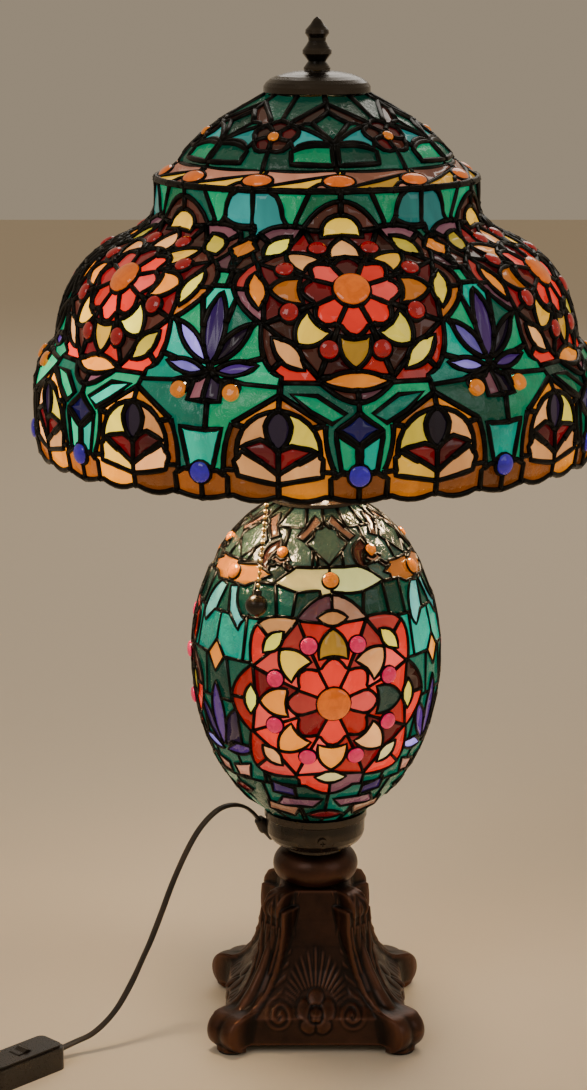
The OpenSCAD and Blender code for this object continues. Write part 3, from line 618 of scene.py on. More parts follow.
def finishGlass(name, bm, keyLayer, tintLayer, names, facts, rng):
    # every piece of glass is cut flat: its points move towards its own mean plane, within the bead
    seen = set()
    tileTint = {}
    for face in bm.faces:
        if face.index in seen or face.tag:
            continue
        group, stack = [], [face]
        face.tag = True
        while stack:
            one = stack.pop()
            group.append(one)
            for edge in one.edges:
                for other in edge.link_faces:
                    if not other.tag and other[keyLayer] == one[keyLayer]:
                        other.tag = True
                        stack.append(other)
        normal = Vector()
        middle = Vector()
        area = 0.0
        for one in group:
            size = one.calc_area()
            normal += one.normal * size
            middle += one.calc_center_median() * size
            area += size
        if area <= 0:
            continue
        normal.normalize()
        middle /= area
        for vert in {v for one in group for v in one.verts}:
            off = (vert.co - middle).dot(normal)
            limit = facts["flatten"] * mm
            vert.co -= normal * max(-limit, min(limit, off))
        shift = (rng.choice((0.45, 0.8, 1.0, 1.15)) * rng.uniform(0.85, 1.15), rng.uniform(-0.06, 0.06))
        for one in group:
            tileTint[one] = shift
    holes = [f for f in bm.faces if f[tintLayer] < 0]
    bmesh.ops.delete(bm, geom=holes, context="FACES")
    colour = bm.loops.layers.float_color.new("tint")
    glowLayer = bm.verts.layers.float.new("glow")
    for face in bm.faces:
        tint = names[face[tintLayer]]
        gain, warm = tileTint.get(face, (1.0, 0.0))
        red, green, blue = (c ** 1.3 for c in glassColours[tint])
        for loop in face.loops:
            loop[colour] = (min(1, red * gain * (1 + warm)), min(1, green * gain), min(1, blue * gain * (1 - warm)), 1.0)
        face.material_index = 1 if tint in rippled else 0
    # painted glow stored on each point of the glass, from its distance to the bulbs
    for vert in bm.verts:
        vert[glowLayer] = lightAt(vert.co, facts)
    glass = newObject(name + "Glass", bm, [opalGlass, rippleGlass])
    solid = glass.modifiers.new("thickness", "SOLIDIFY")
    solid.thickness = facts["glass"] * mm
    solid.offset = -1.0
    return glass


def lightAt(point, facts):
    # painted light: how brightly the glass glows at a point, from its distance to the bulb spots
    total = facts["dim"]
    for spot, power in bulbSpots:
        gap = point - spot
        total += power * facts["gain"] / (gap.length_squared + facts["soft"] ** 2)
    return min(total, facts["most"])


# patterns of the shade and the egg

rosetteFacts = {
    "petals": ["maroon", "red", "rose", "red", "red", "red", "darkRed", "rose"],
    "tulips": ["peach", "golden", "orange", "yellow", "golden", "golden", "orange", "peach"],
    "lenses": ["golden", "yellow", "yellow", "yellow", "orange", "peach", "orange", "yellow"],
    "strips": [("brown", "brown"), ("mauve", "brown"), ("brown", "orange"), ("red", "red"),
               ("mauve", "brown"), ("red", "brown"), ("mauve", "rose"), ("brown", "mauve")],
    "fields": [("maroon", "brown"), ("brown", "maroon"), ("darkRed", "brown"), ("brown", "red"),
               ("maroon", "brown"), ("brown", "darkRed"), ("maroon", "brown"), ("darkRed", "maroon")],
    "long": 15.0, "lowLong": 24.0, "thick": 7.2, "middle": 63.0, "dome": True,
}
eggRosetteFacts = {
    "petals": ["red", "red", "rose", "red", "red", "darkRed", "rose", "red"],
    "tulips": ["golden", "peach", "mistGreen", "peach", "orange", "orange", "orange", "golden"],
    "lenses": ["peach", "yellow", "yellow", "cream", "cream", "peach", "yellow", "yellow"],
    "strips": [("mauve", "tan"), ("rose", "red"), ("brown", "red"), ("red", "red"),
               ("mauve", "red"), ("rose", "red"), ("red", "red"), ("red", "peach")],
    "fields": [("red", "rose"), ("rose", "red"), ("red", "darkRed"), ("darkRed", "red"),
               ("rose", "red"), ("red", "rose"), ("darkRed", "rose"), ("rose", "red")],
    "long": 11.5, "lowLong": 11.5, "thick": 5.8, "middle": 62.0, "dome": False,
}


def rosette(sizes, facts, lift=1.0):
    # an eight-petalled flower with one petal straight up: outer strips, flanks of the small
    # jewels, lenses, tulips, petals, then the holes for the jewels
    rubyRing, rubyR, centreR = sizes
    shapes = []
    for j in range(8):
        for side, tint in zip((-1, 1), facts["strips"][j]):
            arc = [(side * 25.3 * t / 5, 62 + 17 * (1 - (t / 5) ** 2)) for t in range(6)]
            shapes.append((tint, turned(arc + [(side * 17, 50), (0, 50)], -45.0 * j)))
    for j in range(8):
        for side, tint in zip((-1, 1), facts["fields"][j]):
            flank = [(0, 28), (side * 10.7, 25.9), (side * 22.2, 53.6), (0, 65)]
            shapes.append((tint, turned(flank, -45.0 * j - 22.5)))
    for j in range(8):
        half = facts["lowLong"] if j == 4 else facts["long"]
        thick = facts["thick"] / half
        high = facts["middle"]
        lens = bent([(-half, high, thick * 0.50), (half, high, thick * 0.50)])
        if j == 0 and facts["dome"]:
            lens = bent([(-14, 54, -0.06), (14, 54, 0.24), (0, 70, 0.24)])
        tulip = bent([(-10.4, 32.5, -0.10), (10.4, 32.5, 0.17), (0, 55, 0.17)])
        shapes.append((facts["lenses"][j], turned(lens, -45.0 * j)))
        shapes.append((facts["tulips"][j], turned(tulip, -45.0 * j)))
    for j in range(8):
        petal = bent([(-4.8, 11), (4.8, 11), (9.6, 25, 0.44), (-9.6, 25)], 3.0)
        shapes.append((facts["petals"][j], turned(petal, -45.0 * j)))
    for j in range(8):
        a = math.radians(67.5 - 45 * j)
        seat = [(x + rubyRing * math.cos(a), y + rubyRing * math.sin(a)) for x, y in disc(rubyR, 14)]
        shapes.append((None, seat))
    shapes.append((None, disc(centreR, 20)))
    return shapes


def lotus():
    # leaves that meet at the origin, with green glass between them
    shapes = []
    fan = [(-46, 14), (-34, 40), (-14, 60), (14, 60), (34, 40), (46, 14)]
    for (a, b), tint in zip(zip(fan, fan[1:]), ["teal", "emerald", "teal", "deepGreen", "emerald"]):
        shapes.append((tint, [(0, 0), a, b]))
    shapes.append(("teal", [(0, 0), (-50, 14), (-50, -10), (-26, -8)]))
    shapes.append(("emerald", [(0, 0), (50, 14), (50, -10), (26, -8)]))
    for side, tall, low in ((-1, "lavender", "lavender"), (1, "darkPurple", "purple")):
        shapes.append((tall, bent([(2 * side, 5, -0.15 * side), (27 * side, 33, -0.15 * side)])))
        shapes.append((low, bent([(3 * side, 0, -0.15 * side), (33 * side, 5, -0.15 * side)])))
    shapes.append(("purple", bent([(0, 3, 0.155), (1, 55, 0.155)])))
    shapes.append(("mauve", [(0, -1), (0, -22), (-11, -22), (-10, -8)]))
    shapes.append(("darkPurple", [(0, -1), (0, -22), (12, -22), (11, -8)]))
    return shapes


def medallion(flip):
    # a tulip under an amber gable; the origin is at the rim
    shapes = []
    for side, tints in ((-1, ("amberBrown", "amber")), (1, ("amber", "orange"))):
        roof = [(0, 71), (0, 63), (side * 23, 49), (side * 31, 51)]
        wall = bent([(side * 31, 51), (side * 25, 46), (side * 30, 20, 0.06 * side), (side * 37, 20, -0.06 * side)])
        under = [(0, 63), (0, 30), (side * 31, 20), (side * 23, 49)]
        crest = [(0, 33)] + [(side * 28 * math.sin(t * math.pi / 12), 33 + 27 * math.cos(t * math.pi / 12))
                              for t in range(9)]
        shapes += [(tints[0], wall), (tints[1], roof), ("brown", under), ("peach" if side < 0 else "yellow", crest)]
    shapes += [
        ("amberBrown", bent([(-37, 21), (-28, 17), (-1, 11), (-1, -7), (-37, -7)])),
        ("amber", bent([(37, 21), (28, 17), (1, 11), (1, -7), (37, -7)])),
        ("peach", bent([(-30, 26), (-24.4, 33, 0.03), (0, 17), (0, 11, 0.02), (-27, 16.5)])),
        ("peach" if not flip else "golden", bent([(29.5, 28), (25.7, 32), (0, 17), (0, 11), (29, 16.5)])),
        ("maroon", bent([(-25, 36), (-12, 41, 0.06), (0, 34), (0, 18)])),
        ("darkRed", bent([(0, 34), (0, 18), (25, 34), (9, 37)])),
        ("darkPurple", bent([(0, 33, 0.12), (8.7, 50, 0.12), (0, 61, 0.12), (-8.7, 50, 0.12)])),
    ]
    if flip:
        shapes = [(tint, [(-x, y) for x, y in loop]) for tint, loop in shapes]
    return shapes


def bayUnderRosette():
    left = bent([(-16, 46), (-1.5, 36), (-1, 24), (-8, 18), (-12, 21)])
    strip = [(-44, 72), (-27, 71), (-9, 58), (-18, 52), (-32, 60)]
    return [
        ("emerald", left), ("teal", [(-x, y) for x, y in left]),
        ("emerald", strip), ("teal", [(-x, y) for x, y in strip]),
        ("navy", bent([(-15, 48, -0.03), (0, 59, -0.03), (15, 48, -0.03), (0, 37, -0.03)])),
    ]


def bayUnderLotus():
    return [
        ("teal", bent([(-15, 47), (-9, 21), (9, 21), (15, 47, -0.04)])),
    ]


def bayFoot():
    left = [(0, 19), (0, -6), (-18, -6), (-19, 15), (-12, 19)]
    return [("amberBrown", left), ("amberBrown", [(-x, y) for x, y in left])]


def neckShapes(height):
    petal = bent([(0, 1), (-9, 1), (-17, -4, 0.08), (-21, -height, 0.10), (0, -height - 4)])
    return [("turquoise", petal), ("turquoise", [(-x, y) for x, y in petal])]


rimFacts = {"deep": 4.2, "tulipHalf": 9.2, "drop": 1.0}


def rimWave(line):
    # the rim dips in two bumps under each tulip and one under each blue jewel
    def wave(az):
        local = (az + 180.0 + 15.0) % 30.0 - 15.0  # 0 under a blue jewel
        gemHalf = 15.0 - rimFacts["tulipHalf"]
        if abs(local) < gemHalf:
            t = local / gemHalf
        else:
            t = (abs(local) - gemHalf) / rimFacts["tulipHalf"] * 2 - 1
        return line.length + rimFacts["drop"] - rimFacts["deep"] * t * t
    return wave


def lowerShadeShapes(line, neckLow, rosetteS, lotusS, rimS, rubies):
    shapes = []
    # green ground, cut by level and slanting lines
    for j, (a, b) in enumerate(((-31, -15), (-15, 0), (0, 15), (15, 31))):
        for k, (low, high) in enumerate(((0, 26), (26, 62), (62, 150), (150, 240))):
            tint = ("deepGreen", "emerald", "deepGreen", "emerald")[(j + k) % 4]
            shapes.append((tint, 0, 0, [(math.radians(x) * line.at(min(y, line.length))[0], -y)
                                       for x, y in ((a, low), (b, low), (b, high), (a, high))]))
    # the neck between the flowers
    point = bent([(20, 1), (50, 1), (34, -28)][::-1])
    shapes += put([("emerald", point), ("emerald", [(-x, y) for x, y in point])], 0, 0)
    shapes += put(neckShapes(neckLow), 30, 0)
    for side, tints in ((-1, ("brown", "mauve")), (1, ("maroon", "brown"))):
        shapes += put([(tints[0], [(0, -28), (24 * side, -27), (30 * side, -42), (8 * side, -38)]),
                       (tints[1], [(5 * side, -40), (30 * side, -42), (20 * side, -70), (0, -70)])], 30, 0)
    shapes += put(lotus(), 30, lotusS)
    shapes += put(bayUnderRosette(), 0, rimS)
    shapes += put(rosette(rubies, rosetteFacts), 0, rosetteS)
    shapes += put([("orange", bent([(0, -33, 0.05), (-10, -44, 0.05), (0, -57, 0.05), (10, -44, 0.05)]))], 30, 0)
    shapes += put([(None, [(x + side * 18, y) for x, y in disc(5.6, 12)]) for side in (-1, 1)], 30, lotusS + 11.5)
    shapes += put(bayUnderLotus(), 30, rimS)
    shapes += put(medallion(False), -15, rimS)
    shapes += put(medallion(True), 15, rimS)
    shapes += put(bayFoot(), 0, rimS)
    shapes += put(bayFoot(), 30, rimS)
    shapes += put([(None, disc(7.0, 14))], 0, rimS - 17)
    shapes += put([(None, disc(7.0, 14))], 30, rimS - 17)
    return shapes


def crownShapes(line):
    full = line.length
    shapes = []
    for j, (a, b) in enumerate(((-30, 0), (0, 30))):
        for k, (low, high) in enumerate(((0, 0.42), (0.42, 1.0))):
            ends = [(a, low), (b, low), (b, high), (a, high)]
            shapes.append(("deepGreen", 0, 0, [(math.radians(x) * line.at(y * full)[0], -y * full) for x, y in ends]))
    strip = [(0, -10), (0, -19), (-18, -34), (-26, -44), (-31, -38), (-24, -30)]
    shapes += put([("brown", strip), ("brown", [(-x, y) for x, y in strip])], 0, 0)
    shapes += put([("deepGreen", [(-13, -34), (0, -21), (13, -34), (0, -55)])], 0, 0)
    fin = bent([(-1.5, -56, -0.16), (-28, -60, 0.10), (-28, -36, 0.10)])
    shapes += put([("turquoise", fin), ("turquoise", [(-x, y) for x, y in fin])], 0, 0)
    arc = bent([(-2, -58, 0.12), (-30, -63), (-31, -73), (-2, -74)])
    shapes += put([("emerald", arc), ("deepGreen", [(-x, y) for x, y in arc])], 0, 0)
    flowerS = 0.585 * full
    for k in range(5):
        leaf = bent([(0, 1, 0.1), (8, 12, 0.3), (-8, 12, 0.1)])
        shapes += put([("brown" if k % 2 else "maroon", turned(leaf, 72 * k))], 30, flowerS)
    shapes += put([(None, disc(4.0, 12))], 30, flowerS)
    return shapes


def beltShapes(line, gem):
    full = line.length
    pitch = math.radians(30) * line.at(full / 2)[0]
    return [
        ("pinkBeige", 0, 0, [(0, 2), (pitch, 2), (pitch, -full - 2), (0, -full - 2)]),
        ("golden", 0, 0, [(0, -full - 2), (pitch * 0.10, -full * 0.80), (pitch * 0.52, -full * 0.42),
                          (pitch * 0.94, -full * 0.16), (pitch, 0), (pitch, -full - 2)]),
        ("pinkBeige", 0, 0, [(pitch * 0.62, -full - 2), (pitch * 0.76, -full * 0.62), (pitch, -full * 0.40),
                             (pitch, -full - 2)]),
        (None, 0, full / 2, [(x * gem[0], y * gem[1]) for x, y in disc(1.0, 18)]),
    ]


def eggShapes(line, rosetteS, beltS, crownS, rubies, gem, small):
    full = line.length
    shapes = []
    # dark textured ground in rows of uneven panes
    rows = [0, 20, 52, 66, 92, 124, 156, 190, 222, full + 2]
    tints = ["mistGreen", "mistGreen", "mistGreen", "deepGreen", "teal", "deepGreen", "deepGreen", "deepGreen",
             "deepGreen"]
    counts = [6, 6, 6, 10, 7, 8, 9, 7, 6]
    for k, (low, high) in enumerate(zip(rows, rows[1:])):
        for j in range(counts[k]):
            a = -60 + 120 * (j + (0.5 if k % 2 else 0.0)) / counts[k]
            b = a + 120 / counts[k]
            lean = ((j * 7 + k * 5) % 5 - 2) * 1.6
            ends = [(a, low), (b, low), (b + lean, high), (a + lean, high)]
            shapes.append((tints[k], 0, 0, [(math.radians(x) * line.at(min(y, full))[0], -y) for x, y in ends]))
    # pointed panes and curved strips over the belt
    for az in (0, 60):
        shapes += put([("mistGreen", [(0, 17), (15, 0), (0, -17), (-15, 0)])], az, beltS - 29)
        for side in (-1, 1):
            shapes += put([("tan", [(side * 2, 19), (side * 17, 2), (side * 22, 5), (side * 6, 26)])], az, beltS - 29)
    for az in (30, -30):
        for side in (-1, 1):
            shapes += put([("brown", bent([(side * 4, 12, -0.25 * side), (side * 14, -12), (side * 8, -13, 0.2 * side),
                                           (side * 2, 5)]))], az, crownS)
        shapes += put([("tan", bent([(-7, 0, 0.3), (7, 0, 0.3)]))], az, crownS + 4)
        shapes += put([(None, disc(small, 12))], az, crownS)
    # belt: cream leaves beside the front jewel, orange chevrons beside the next
    for side in (-1, 1):
        shapes += put([("cream", bent([(0, 7.5), (26 * side, 9), (42 * side, -3), (24 * side, -9, 0.05 * side),
                                       (0, -7.5)]))], 0, beltS)
        shapes += put([("orange", bent([(0, 7), (18 * side, 10), (34 * side, 3), (16 * side, -8), (0, -7)]))],
                      60, beltS)
    for az in (0, 60):
        shapes += put([(None, disc(gem, 16))], az, beltS)
    # turquoise leaf pairs, orange diamonds and purple leaves between the flowers
    for side in (-1, 1):
        leaf = [(2 * side, 0), (10 * side, 2, -0.12 * side), (24 * side, -22, -0.12 * side), (20 * side, -30),
                (7 * side, -18, 0.0)]
        shapes += put([("aqua", bent(leaf))], 60, beltS + 10)
    for side, tall, low in ((-1, "purple", "lavender"), (1, "darkPurple", "purple")):
        shapes += put([(tall, bent([(3 * side, 2, -0.15 * side), (22 * side, 36, -0.15 * side)])),
                       (low, bent([(2 * side, -2, -0.17 * side), (30 * side, 4, -0.15 * side)]))], 60, beltS + 134)
    shapes += put([("purple", bent([(0, 2, 0.15), (0, 52, 0.15)]))], 60, beltS + 134)
    # slanting strips low on the egg
    for side in (-1, 1):
        shapes += put([("mauve", bent([(side * 4, -2), (side * 34, -1), (side * 38, -12), (side * 10, -12)])),
                       ("tan", bent([(side * 20, -15), (side * 46, -8), (side * 44, -20), (side * 22, -27)])),
                       ("purple", bent([(side * 26, 10), (side * 44, 16), (side * 42, 4), (side * 24, 1)]))],
                      0, rosetteS + 84)
        shapes += put([("pinkBeige", bent([(side * 3, -3), (side * 22, 2), (side * 16, -12), (side * 4, -13)]))],
                      60, beltS + 146)
    shapes += put([("maroon", bent([(-13, 0, 0.26), (13, 0, 0.26)]))], 0, rosetteS + 108)
    shapes += put([("maroon", bent([(-10, 0, 0.26), (10, 0, 0.26)]))], 60, beltS + 172)
    shapes += put(rosette(rubies, eggRosetteFacts), 0, rosetteS)
    shapes += put([("orange", [(0, 12), (10, 0), (0, -12), (-10, 0)])], 60, beltS + 62)
    return shapes


# the shade and the egg


def middleOf(node):
    low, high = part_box(node)
    return Vector([(a + b) / 2 for a, b in zip(low, high)])


def nodeIslands(node):
    # the middle of each separate solid in a CAD node
    bm = bmesh.new()
    bm.from_mesh(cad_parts[node].data)
    bmesh.ops.remove_doubles(bm, verts=bm.verts, dist=1e-6)
    found = []
    for vert in bm.verts:
        if vert.tag:
            continue
        vert.tag = True
        stack, group = [vert], []
        while stack:
            one = stack.pop()
            group.append(one.co.copy())
            for edge in one.link_edges:
                other = edge.other_vert(one)
                if not other.tag:
                    other.tag = True
                    stack.append(other)
        low = Vector([min(p[k] for p in group) for k in range(3)])
        high = Vector([max(p[k] for p in group) for k in range(3)])
        found.append((low + high) / 2)
    bm.free()
    return found


shadeFacts = {
    "folds": 6, "turn": patternAz, "grid": 8.0, "narrow": 2.6, "sunk": 1.3, "flatten": 0.6, "glass": 1.7, "bead": 2.1,
    "flat": 0.95, "solder": darkSolder, "seed": 11, "ground": "deepGreen", "middleZ": 400.0,
    "dim": 0.03, "gain": 0.021, "soft": 0.045, "most": 6.0,
}
eggFacts = {
    "folds": 3, "turn": patternAz, "grid": 8.0, "narrow": 2.2, "sunk": 1.2, "flatten": 0.5, "glass": 1.7, "bead": 1.35,
    "flat": 0.95, "solder": darkSolder, "seed": 23, "ground": "deepGreen", "middleZ": 290.0,
    "dim": 0.03, "gain": 0.011, "soft": 0.03, "most": 3.0,
}
bulbSpots.append((middleOf("left_bulb") + Vector((-0.02, -0.01, 0)), 1.0))
bulbSpots.append((middleOf("right_bulb") + Vector((0.02, 0.01, 0)), 1.0))

lowerLine = TurnedLine(["shade_neck", "shade_dome", "shade_skirt"])
crownLine = TurnedLine(["shade_crown"])
beltLine = TurnedLine(["shade_belt"])
print("outlines", round(lowerLine.length), round(crownLine.length), round(beltLine.length))

rosetteZ = middleOf("shade_rosette_centres").z / mm
rubySizes = (46.0, 6.0, 12.0)
lowerShapes = lowerShadeShapes(
    lowerLine, 20, lowerLine.reach(rosetteZ), lowerLine.reach(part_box("shade_skirt")[1][2] / mm + 2.5),
    lowerLine.length, rubySizes)
lowerGlass, lowerSolder = leadedShell("shadeLower", lowerLine, shadeFacts, lowerShapes, rimWave(lowerLine))
stand(lowerGlass, "shade", "leaded_glass", "shade_neck", "shade_dome", "shade_skirt")
stand(lowerSolder, "shade", "leaded_glass")
crownGlass, crownSolder = leadedShell("shadeCrown", crownLine, shadeFacts, crownShapes(crownLine))
stand(crownGlass, "shade", "leaded_glass", "shade_crown")
stand(crownSolder, "shade", "leaded_glass")
beltFacts = dict(shadeFacts, folds=12, bead=1.7)
beltGlass, beltSolder = leadedShell("shadeBelt", beltLine, beltFacts, beltShapes(beltLine, (11.0, 6.4)))
stand(beltGlass, "shade", "leaded_glass", "shade_belt")
stand(beltSolder, "shade", "leaded_glass")
print("shade leaded")

bulbSpots.clear()
eggLow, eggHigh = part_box("egg_shell")
bulbSpots.append((Vector((0.012, 0, eggLow[2] + 0.115)), 1.0))
eggLine = TurnedLine(["egg_shell"])
eggFoot = eggLine.reach(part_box("fitter_cup")[1][2] / mm + 0.4)
eggLine.cut(eggFoot)
eggGlass, eggSolder = leadedShell(
    "egg", eggLine, eggFacts,
    eggShapes(eggLine, eggLine.reach(middleOf("egg_rosette_centres").z / mm),
              eggLine.reach(middleOf("egg_belt_jewels").z / mm),
              eggLine.reach(middleOf("egg_belt_jewels").z / mm + 16), rubySizes, 5.6, 4.0))
stand(eggGlass, "stand", "leaded_glass", "egg_shell")
stand(eggSolder, "stand", "leaded_glass")
print("egg leaded")


def castMetal(name, low, middle, high, rough, coat, grain=90.0):
    # dark metal, darker in its hollows and paler on its raised places and edges, with random patches
    material, tree, shader = nodeMaterial(name)
    geometry = tree.nodes.new("ShaderNodeNewGeometry")
    patches = noiseNode(tree, objectPlace(tree), 38.0, 5.0, 0.62)
    fine = noiseNode(tree, objectPlace(tree), grain * 4, 4.0, 0.6)
    edge = mapRange(tree, geometry.outputs["Pointiness"], -3.6, 4.6)
    # colour runs from dark in hollows to pale on raised places and edges, with random patches added
    hollowsToRaised = mathNode(tree, "ADD", edge, mathNode(tree, "MULTIPLY", patches, 0.45))
    colour = ramp(tree, hollowsToRaised, [(0.28, low), (0.62, middle), (0.98, high)])
    tree.links.new(colour, shader.inputs["Base Color"])
    shader.inputs["Metallic"].default_value = 0.85
    tree.links.new(mapRange(tree, patches, rough * 0.75, rough * 1.3), shader.inputs["Roughness"])
    shader.inputs["Coat Weight"].default_value = coat
    shader.inputs["Coat Roughness"].default_value = 0.2
    bump(tree, shader, fine, 0.3, 0.0008)
    return material


def jewelGlass(name, deep, bright, glow):
    # pressed glass, deep at the middle and lit at its edge
    material, tree, shader = nodeMaterial(name)
    facing = tree.nodes.new("ShaderNodeLayerWeight")
    facing.inputs[0].default_value = 0.4
    swirl = noiseNode(tree, objectPlace(tree), 140.0, 3.0, 0.5, 0.8)
    colour = mixColour(tree, swirl, deep, bright)
    # painted highlight: the colour turns paler towards the jewel's edge
    tree.links.new(mixColour(tree, facing.outputs[1], colour, bright), shader.inputs["Base Color"])
    # painted glow: the jewels give off their own light
    tree.links.new(colour, shader.inputs["Emission Color"])
    shader.inputs["Emission Strength"].default_value = glow
    tree.links.new(mapRange(tree, swirl, 0.03, 0.10), shader.inputs["Roughness"])
    shader.inputs["Coat Weight"].default_value = 1.0
    shader.inputs["Coat Roughness"].default_value = 0.03
    bump(tree, shader, swirl, 0.12, 0.0006)
    return material


def mouldedPlastic(name, dark, pale, rough):
    material, tree, shader = nodeMaterial(name)
    grain = noiseNode(tree, objectPlace(tree), 900.0, 2.0)
    cloud = noiseNode(tree, objectPlace(tree), 45.0, 3.0)
    tree.links.new(ramp(tree, cloud, [(0.3, dark), (0.7, pale)]), shader.inputs["Base Color"])
    tree.links.new(mapRange(tree, grain, rough * 0.8, rough * 1.25), shader.inputs["Roughness"])
    bump(tree, shader, grain, 0.25, 0.0003)
    return material


def litGlass(name, colour, glow):
    material, tree, shader = nodeMaterial(name)
    cloud = noiseNode(tree, objectPlace(tree), 30.0, 2.0)
    tint = mixColour(tree, cloud, colour, tuple(min(1.0, c * 1.15) for c in colour))
    tree.links.new(tint, shader.inputs["Base Color"])
    tree.links.new(tint, shader.inputs["Emission Color"])
    shader.inputs["Emission Strength"].default_value = glow
    tree.links.new(mapRange(tree, cloud, 0.3, 0.45), shader.inputs["Roughness"])
    return material


castBronze = castMetal("castBronze", (0.004, 0.003, 0.003), (0.016, 0.009, 0.007), (0.11, 0.045, 0.026), 0.38, 0.15)
blackBronze = castMetal("blackBronze", (0.006, 0.005, 0.004), (0.014, 0.011, 0.009), (0.05, 0.038, 0.028), 0.26, 0.5)
agedBrass = castMetal("agedBrass", (0.12, 0.07, 0.02), (0.36, 0.24, 0.09), (0.62, 0.45, 0.2), 0.3, 0.0)
paleSteel = castMetal("paleSteel", (0.30, 0.30, 0.30), (0.48, 0.48, 0.48), (0.65, 0.65, 0.66), 0.3, 0.0)
darkFelt = mouldedPlastic("darkFelt", (0.012, 0.012, 0.011), (0.03, 0.03, 0.027), 0.95)
cordVinyl = mouldedPlastic("cordVinyl", (0.012, 0.009, 0.007), (0.03, 0.02, 0.014), 0.4)
switchPlastic = mouldedPlastic("switchPlastic", (0.010, 0.008, 0.007), (0.022, 0.016, 0.012), 0.28)
wireCover = mouldedPlastic("wireCover", (0.05, 0.03, 0.018), (0.10, 0.055, 0.03), 0.5)
amberJewel = jewelGlass("amberJewel", (0.20, 0.035, 0.001), (0.60, 0.17, 0.004), 1.2)
amberHeart = jewelGlass("amberHeart", (0.28, 0.035, 0.001), (0.70, 0.14, 0.002), 1.0)
rubyJewel = jewelGlass("rubyJewel", (0.06, 0.0, 0.001), (0.42, 0.001, 0.005), 0.7)
eggRuby = jewelGlass("eggRuby", (0.30, 0.001, 0.03), (0.75, 0.006, 0.10), 0.9)
blueJewel = jewelGlass("blueJewel", (0.003, 0.0005, 0.07), (0.03, 0.003, 0.42), 0.7)
frostedBulb = litGlass("frostedBulb", (1.0, 0.80, 0.52), 9.0)

nodeLooks = {
    castBronze: ["base_casting", "neck_cushion"],
    blackBronze: ["fitter_cup", "egg_top_cap", "cluster_body", "chain_spouts", "vase_cap", "finial",
                  "fitter_screws", "left_pull_ball", "right_pull_ball"],
    agedBrass: ["base_washer", "fitter_nut", "socket_caps", "socket_shells", "egg_socket", "left_pull_chain",
                "right_pull_chain", "shade_rest", "shade_riser", "plug_blades"],
    paleSteel: ["base_nut", "lamp_pipe", "egg_lock_nut", "switch_screws"],
    darkFelt: ["foot_pads"],
    darkSolder: ["shade_top_ring"],
    cordVinyl: ["cord_bushing", "coil_tie", "plug_body", "cord_tail", "cord_coil", "plug_lead", "power_cord"],
    switchPlastic: ["switch_base", "switch_cover", "switch_rocker"],
    wireCover: ["inner_wires"],
    amberJewel: ["shade_crown_jewels", "shade_bud_jewels", "egg_belt_jewels", "egg_crown_jewels", "shade_belt_jewels"],
    amberHeart: ["shade_rosette_centres", "egg_rosette_centres"],
    rubyJewel: ["shade_ruby_jewels"],
    eggRuby: ["egg_ruby_jewels"],
    blueJewel: ["shade_rim_jewels"],
    frostedBulb: ["left_bulb", "right_bulb", "egg_bulb"],
}
for look, nodes in nodeLooks.items():
    for node in nodes:
        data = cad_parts[node].data
        if not data.materials:
            data.materials.append(look)
        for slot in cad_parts[node].material_slots:
            slot.material = look
print("carried nodes given their materials")


# belt jewels, oval ones in place of the round ones

ovalFacts = {"wide": 11.0, "tall": 6.4, "rise": 3.4, "rings": 7, "around": 28}


def makeOvals(facts, line):
    bm = bmesh.new()
    for k in range(12):
        az = patternAz + 30.0 * k
        middle = line.length / 2
        out = line.normal(middle, az)
        side = Vector((-math.sin(math.radians(az)), math.cos(math.radians(az)), 0))
        up = out.cross(side).normalized()
        seat = line.spot(middle, az, -1.4)
        rows = []
        for i in range(facts["rings"]):
            t = i / (facts["rings"] - 1)
            size = math.cos(t * math.pi / 2) ** 0.8
            lift = facts["rise"] * mm * math.sin(t * math.pi / 2)
            row = []
            for j in range(facts["around"]):
                a = 2 * math.pi * j / facts["around"]
                row.append(bm.verts.new(seat + side * math.cos(a) * facts["wide"] * mm * size
                                        + up * math.sin(a) * facts["tall"] * mm * size + out * lift))
            rows.append(row)
        for a, b in zip(rows, rows[1:]):
            for j in range(facts["around"]):
                n = (j + 1) % facts["around"]
                bm.faces.new((a[j], a[n], b[n], b[j]))
        bm.faces.new(list(reversed(rows[0])))
    bmesh.ops.remove_doubles(bm, verts=bm.verts, dist=2e-6)
    bmesh.ops.recalc_face_normals(bm, faces=bm.faces)
    return newObject("beltOvals", bm, [amberHeart])


stand(makeOvals(ovalFacts, beltLine), "shade", "amber_jewel", "shade_belt_jewels")


# the base, with its relief

baseFacts = {"around": 432, "rows": 116, "wall": 3.0}


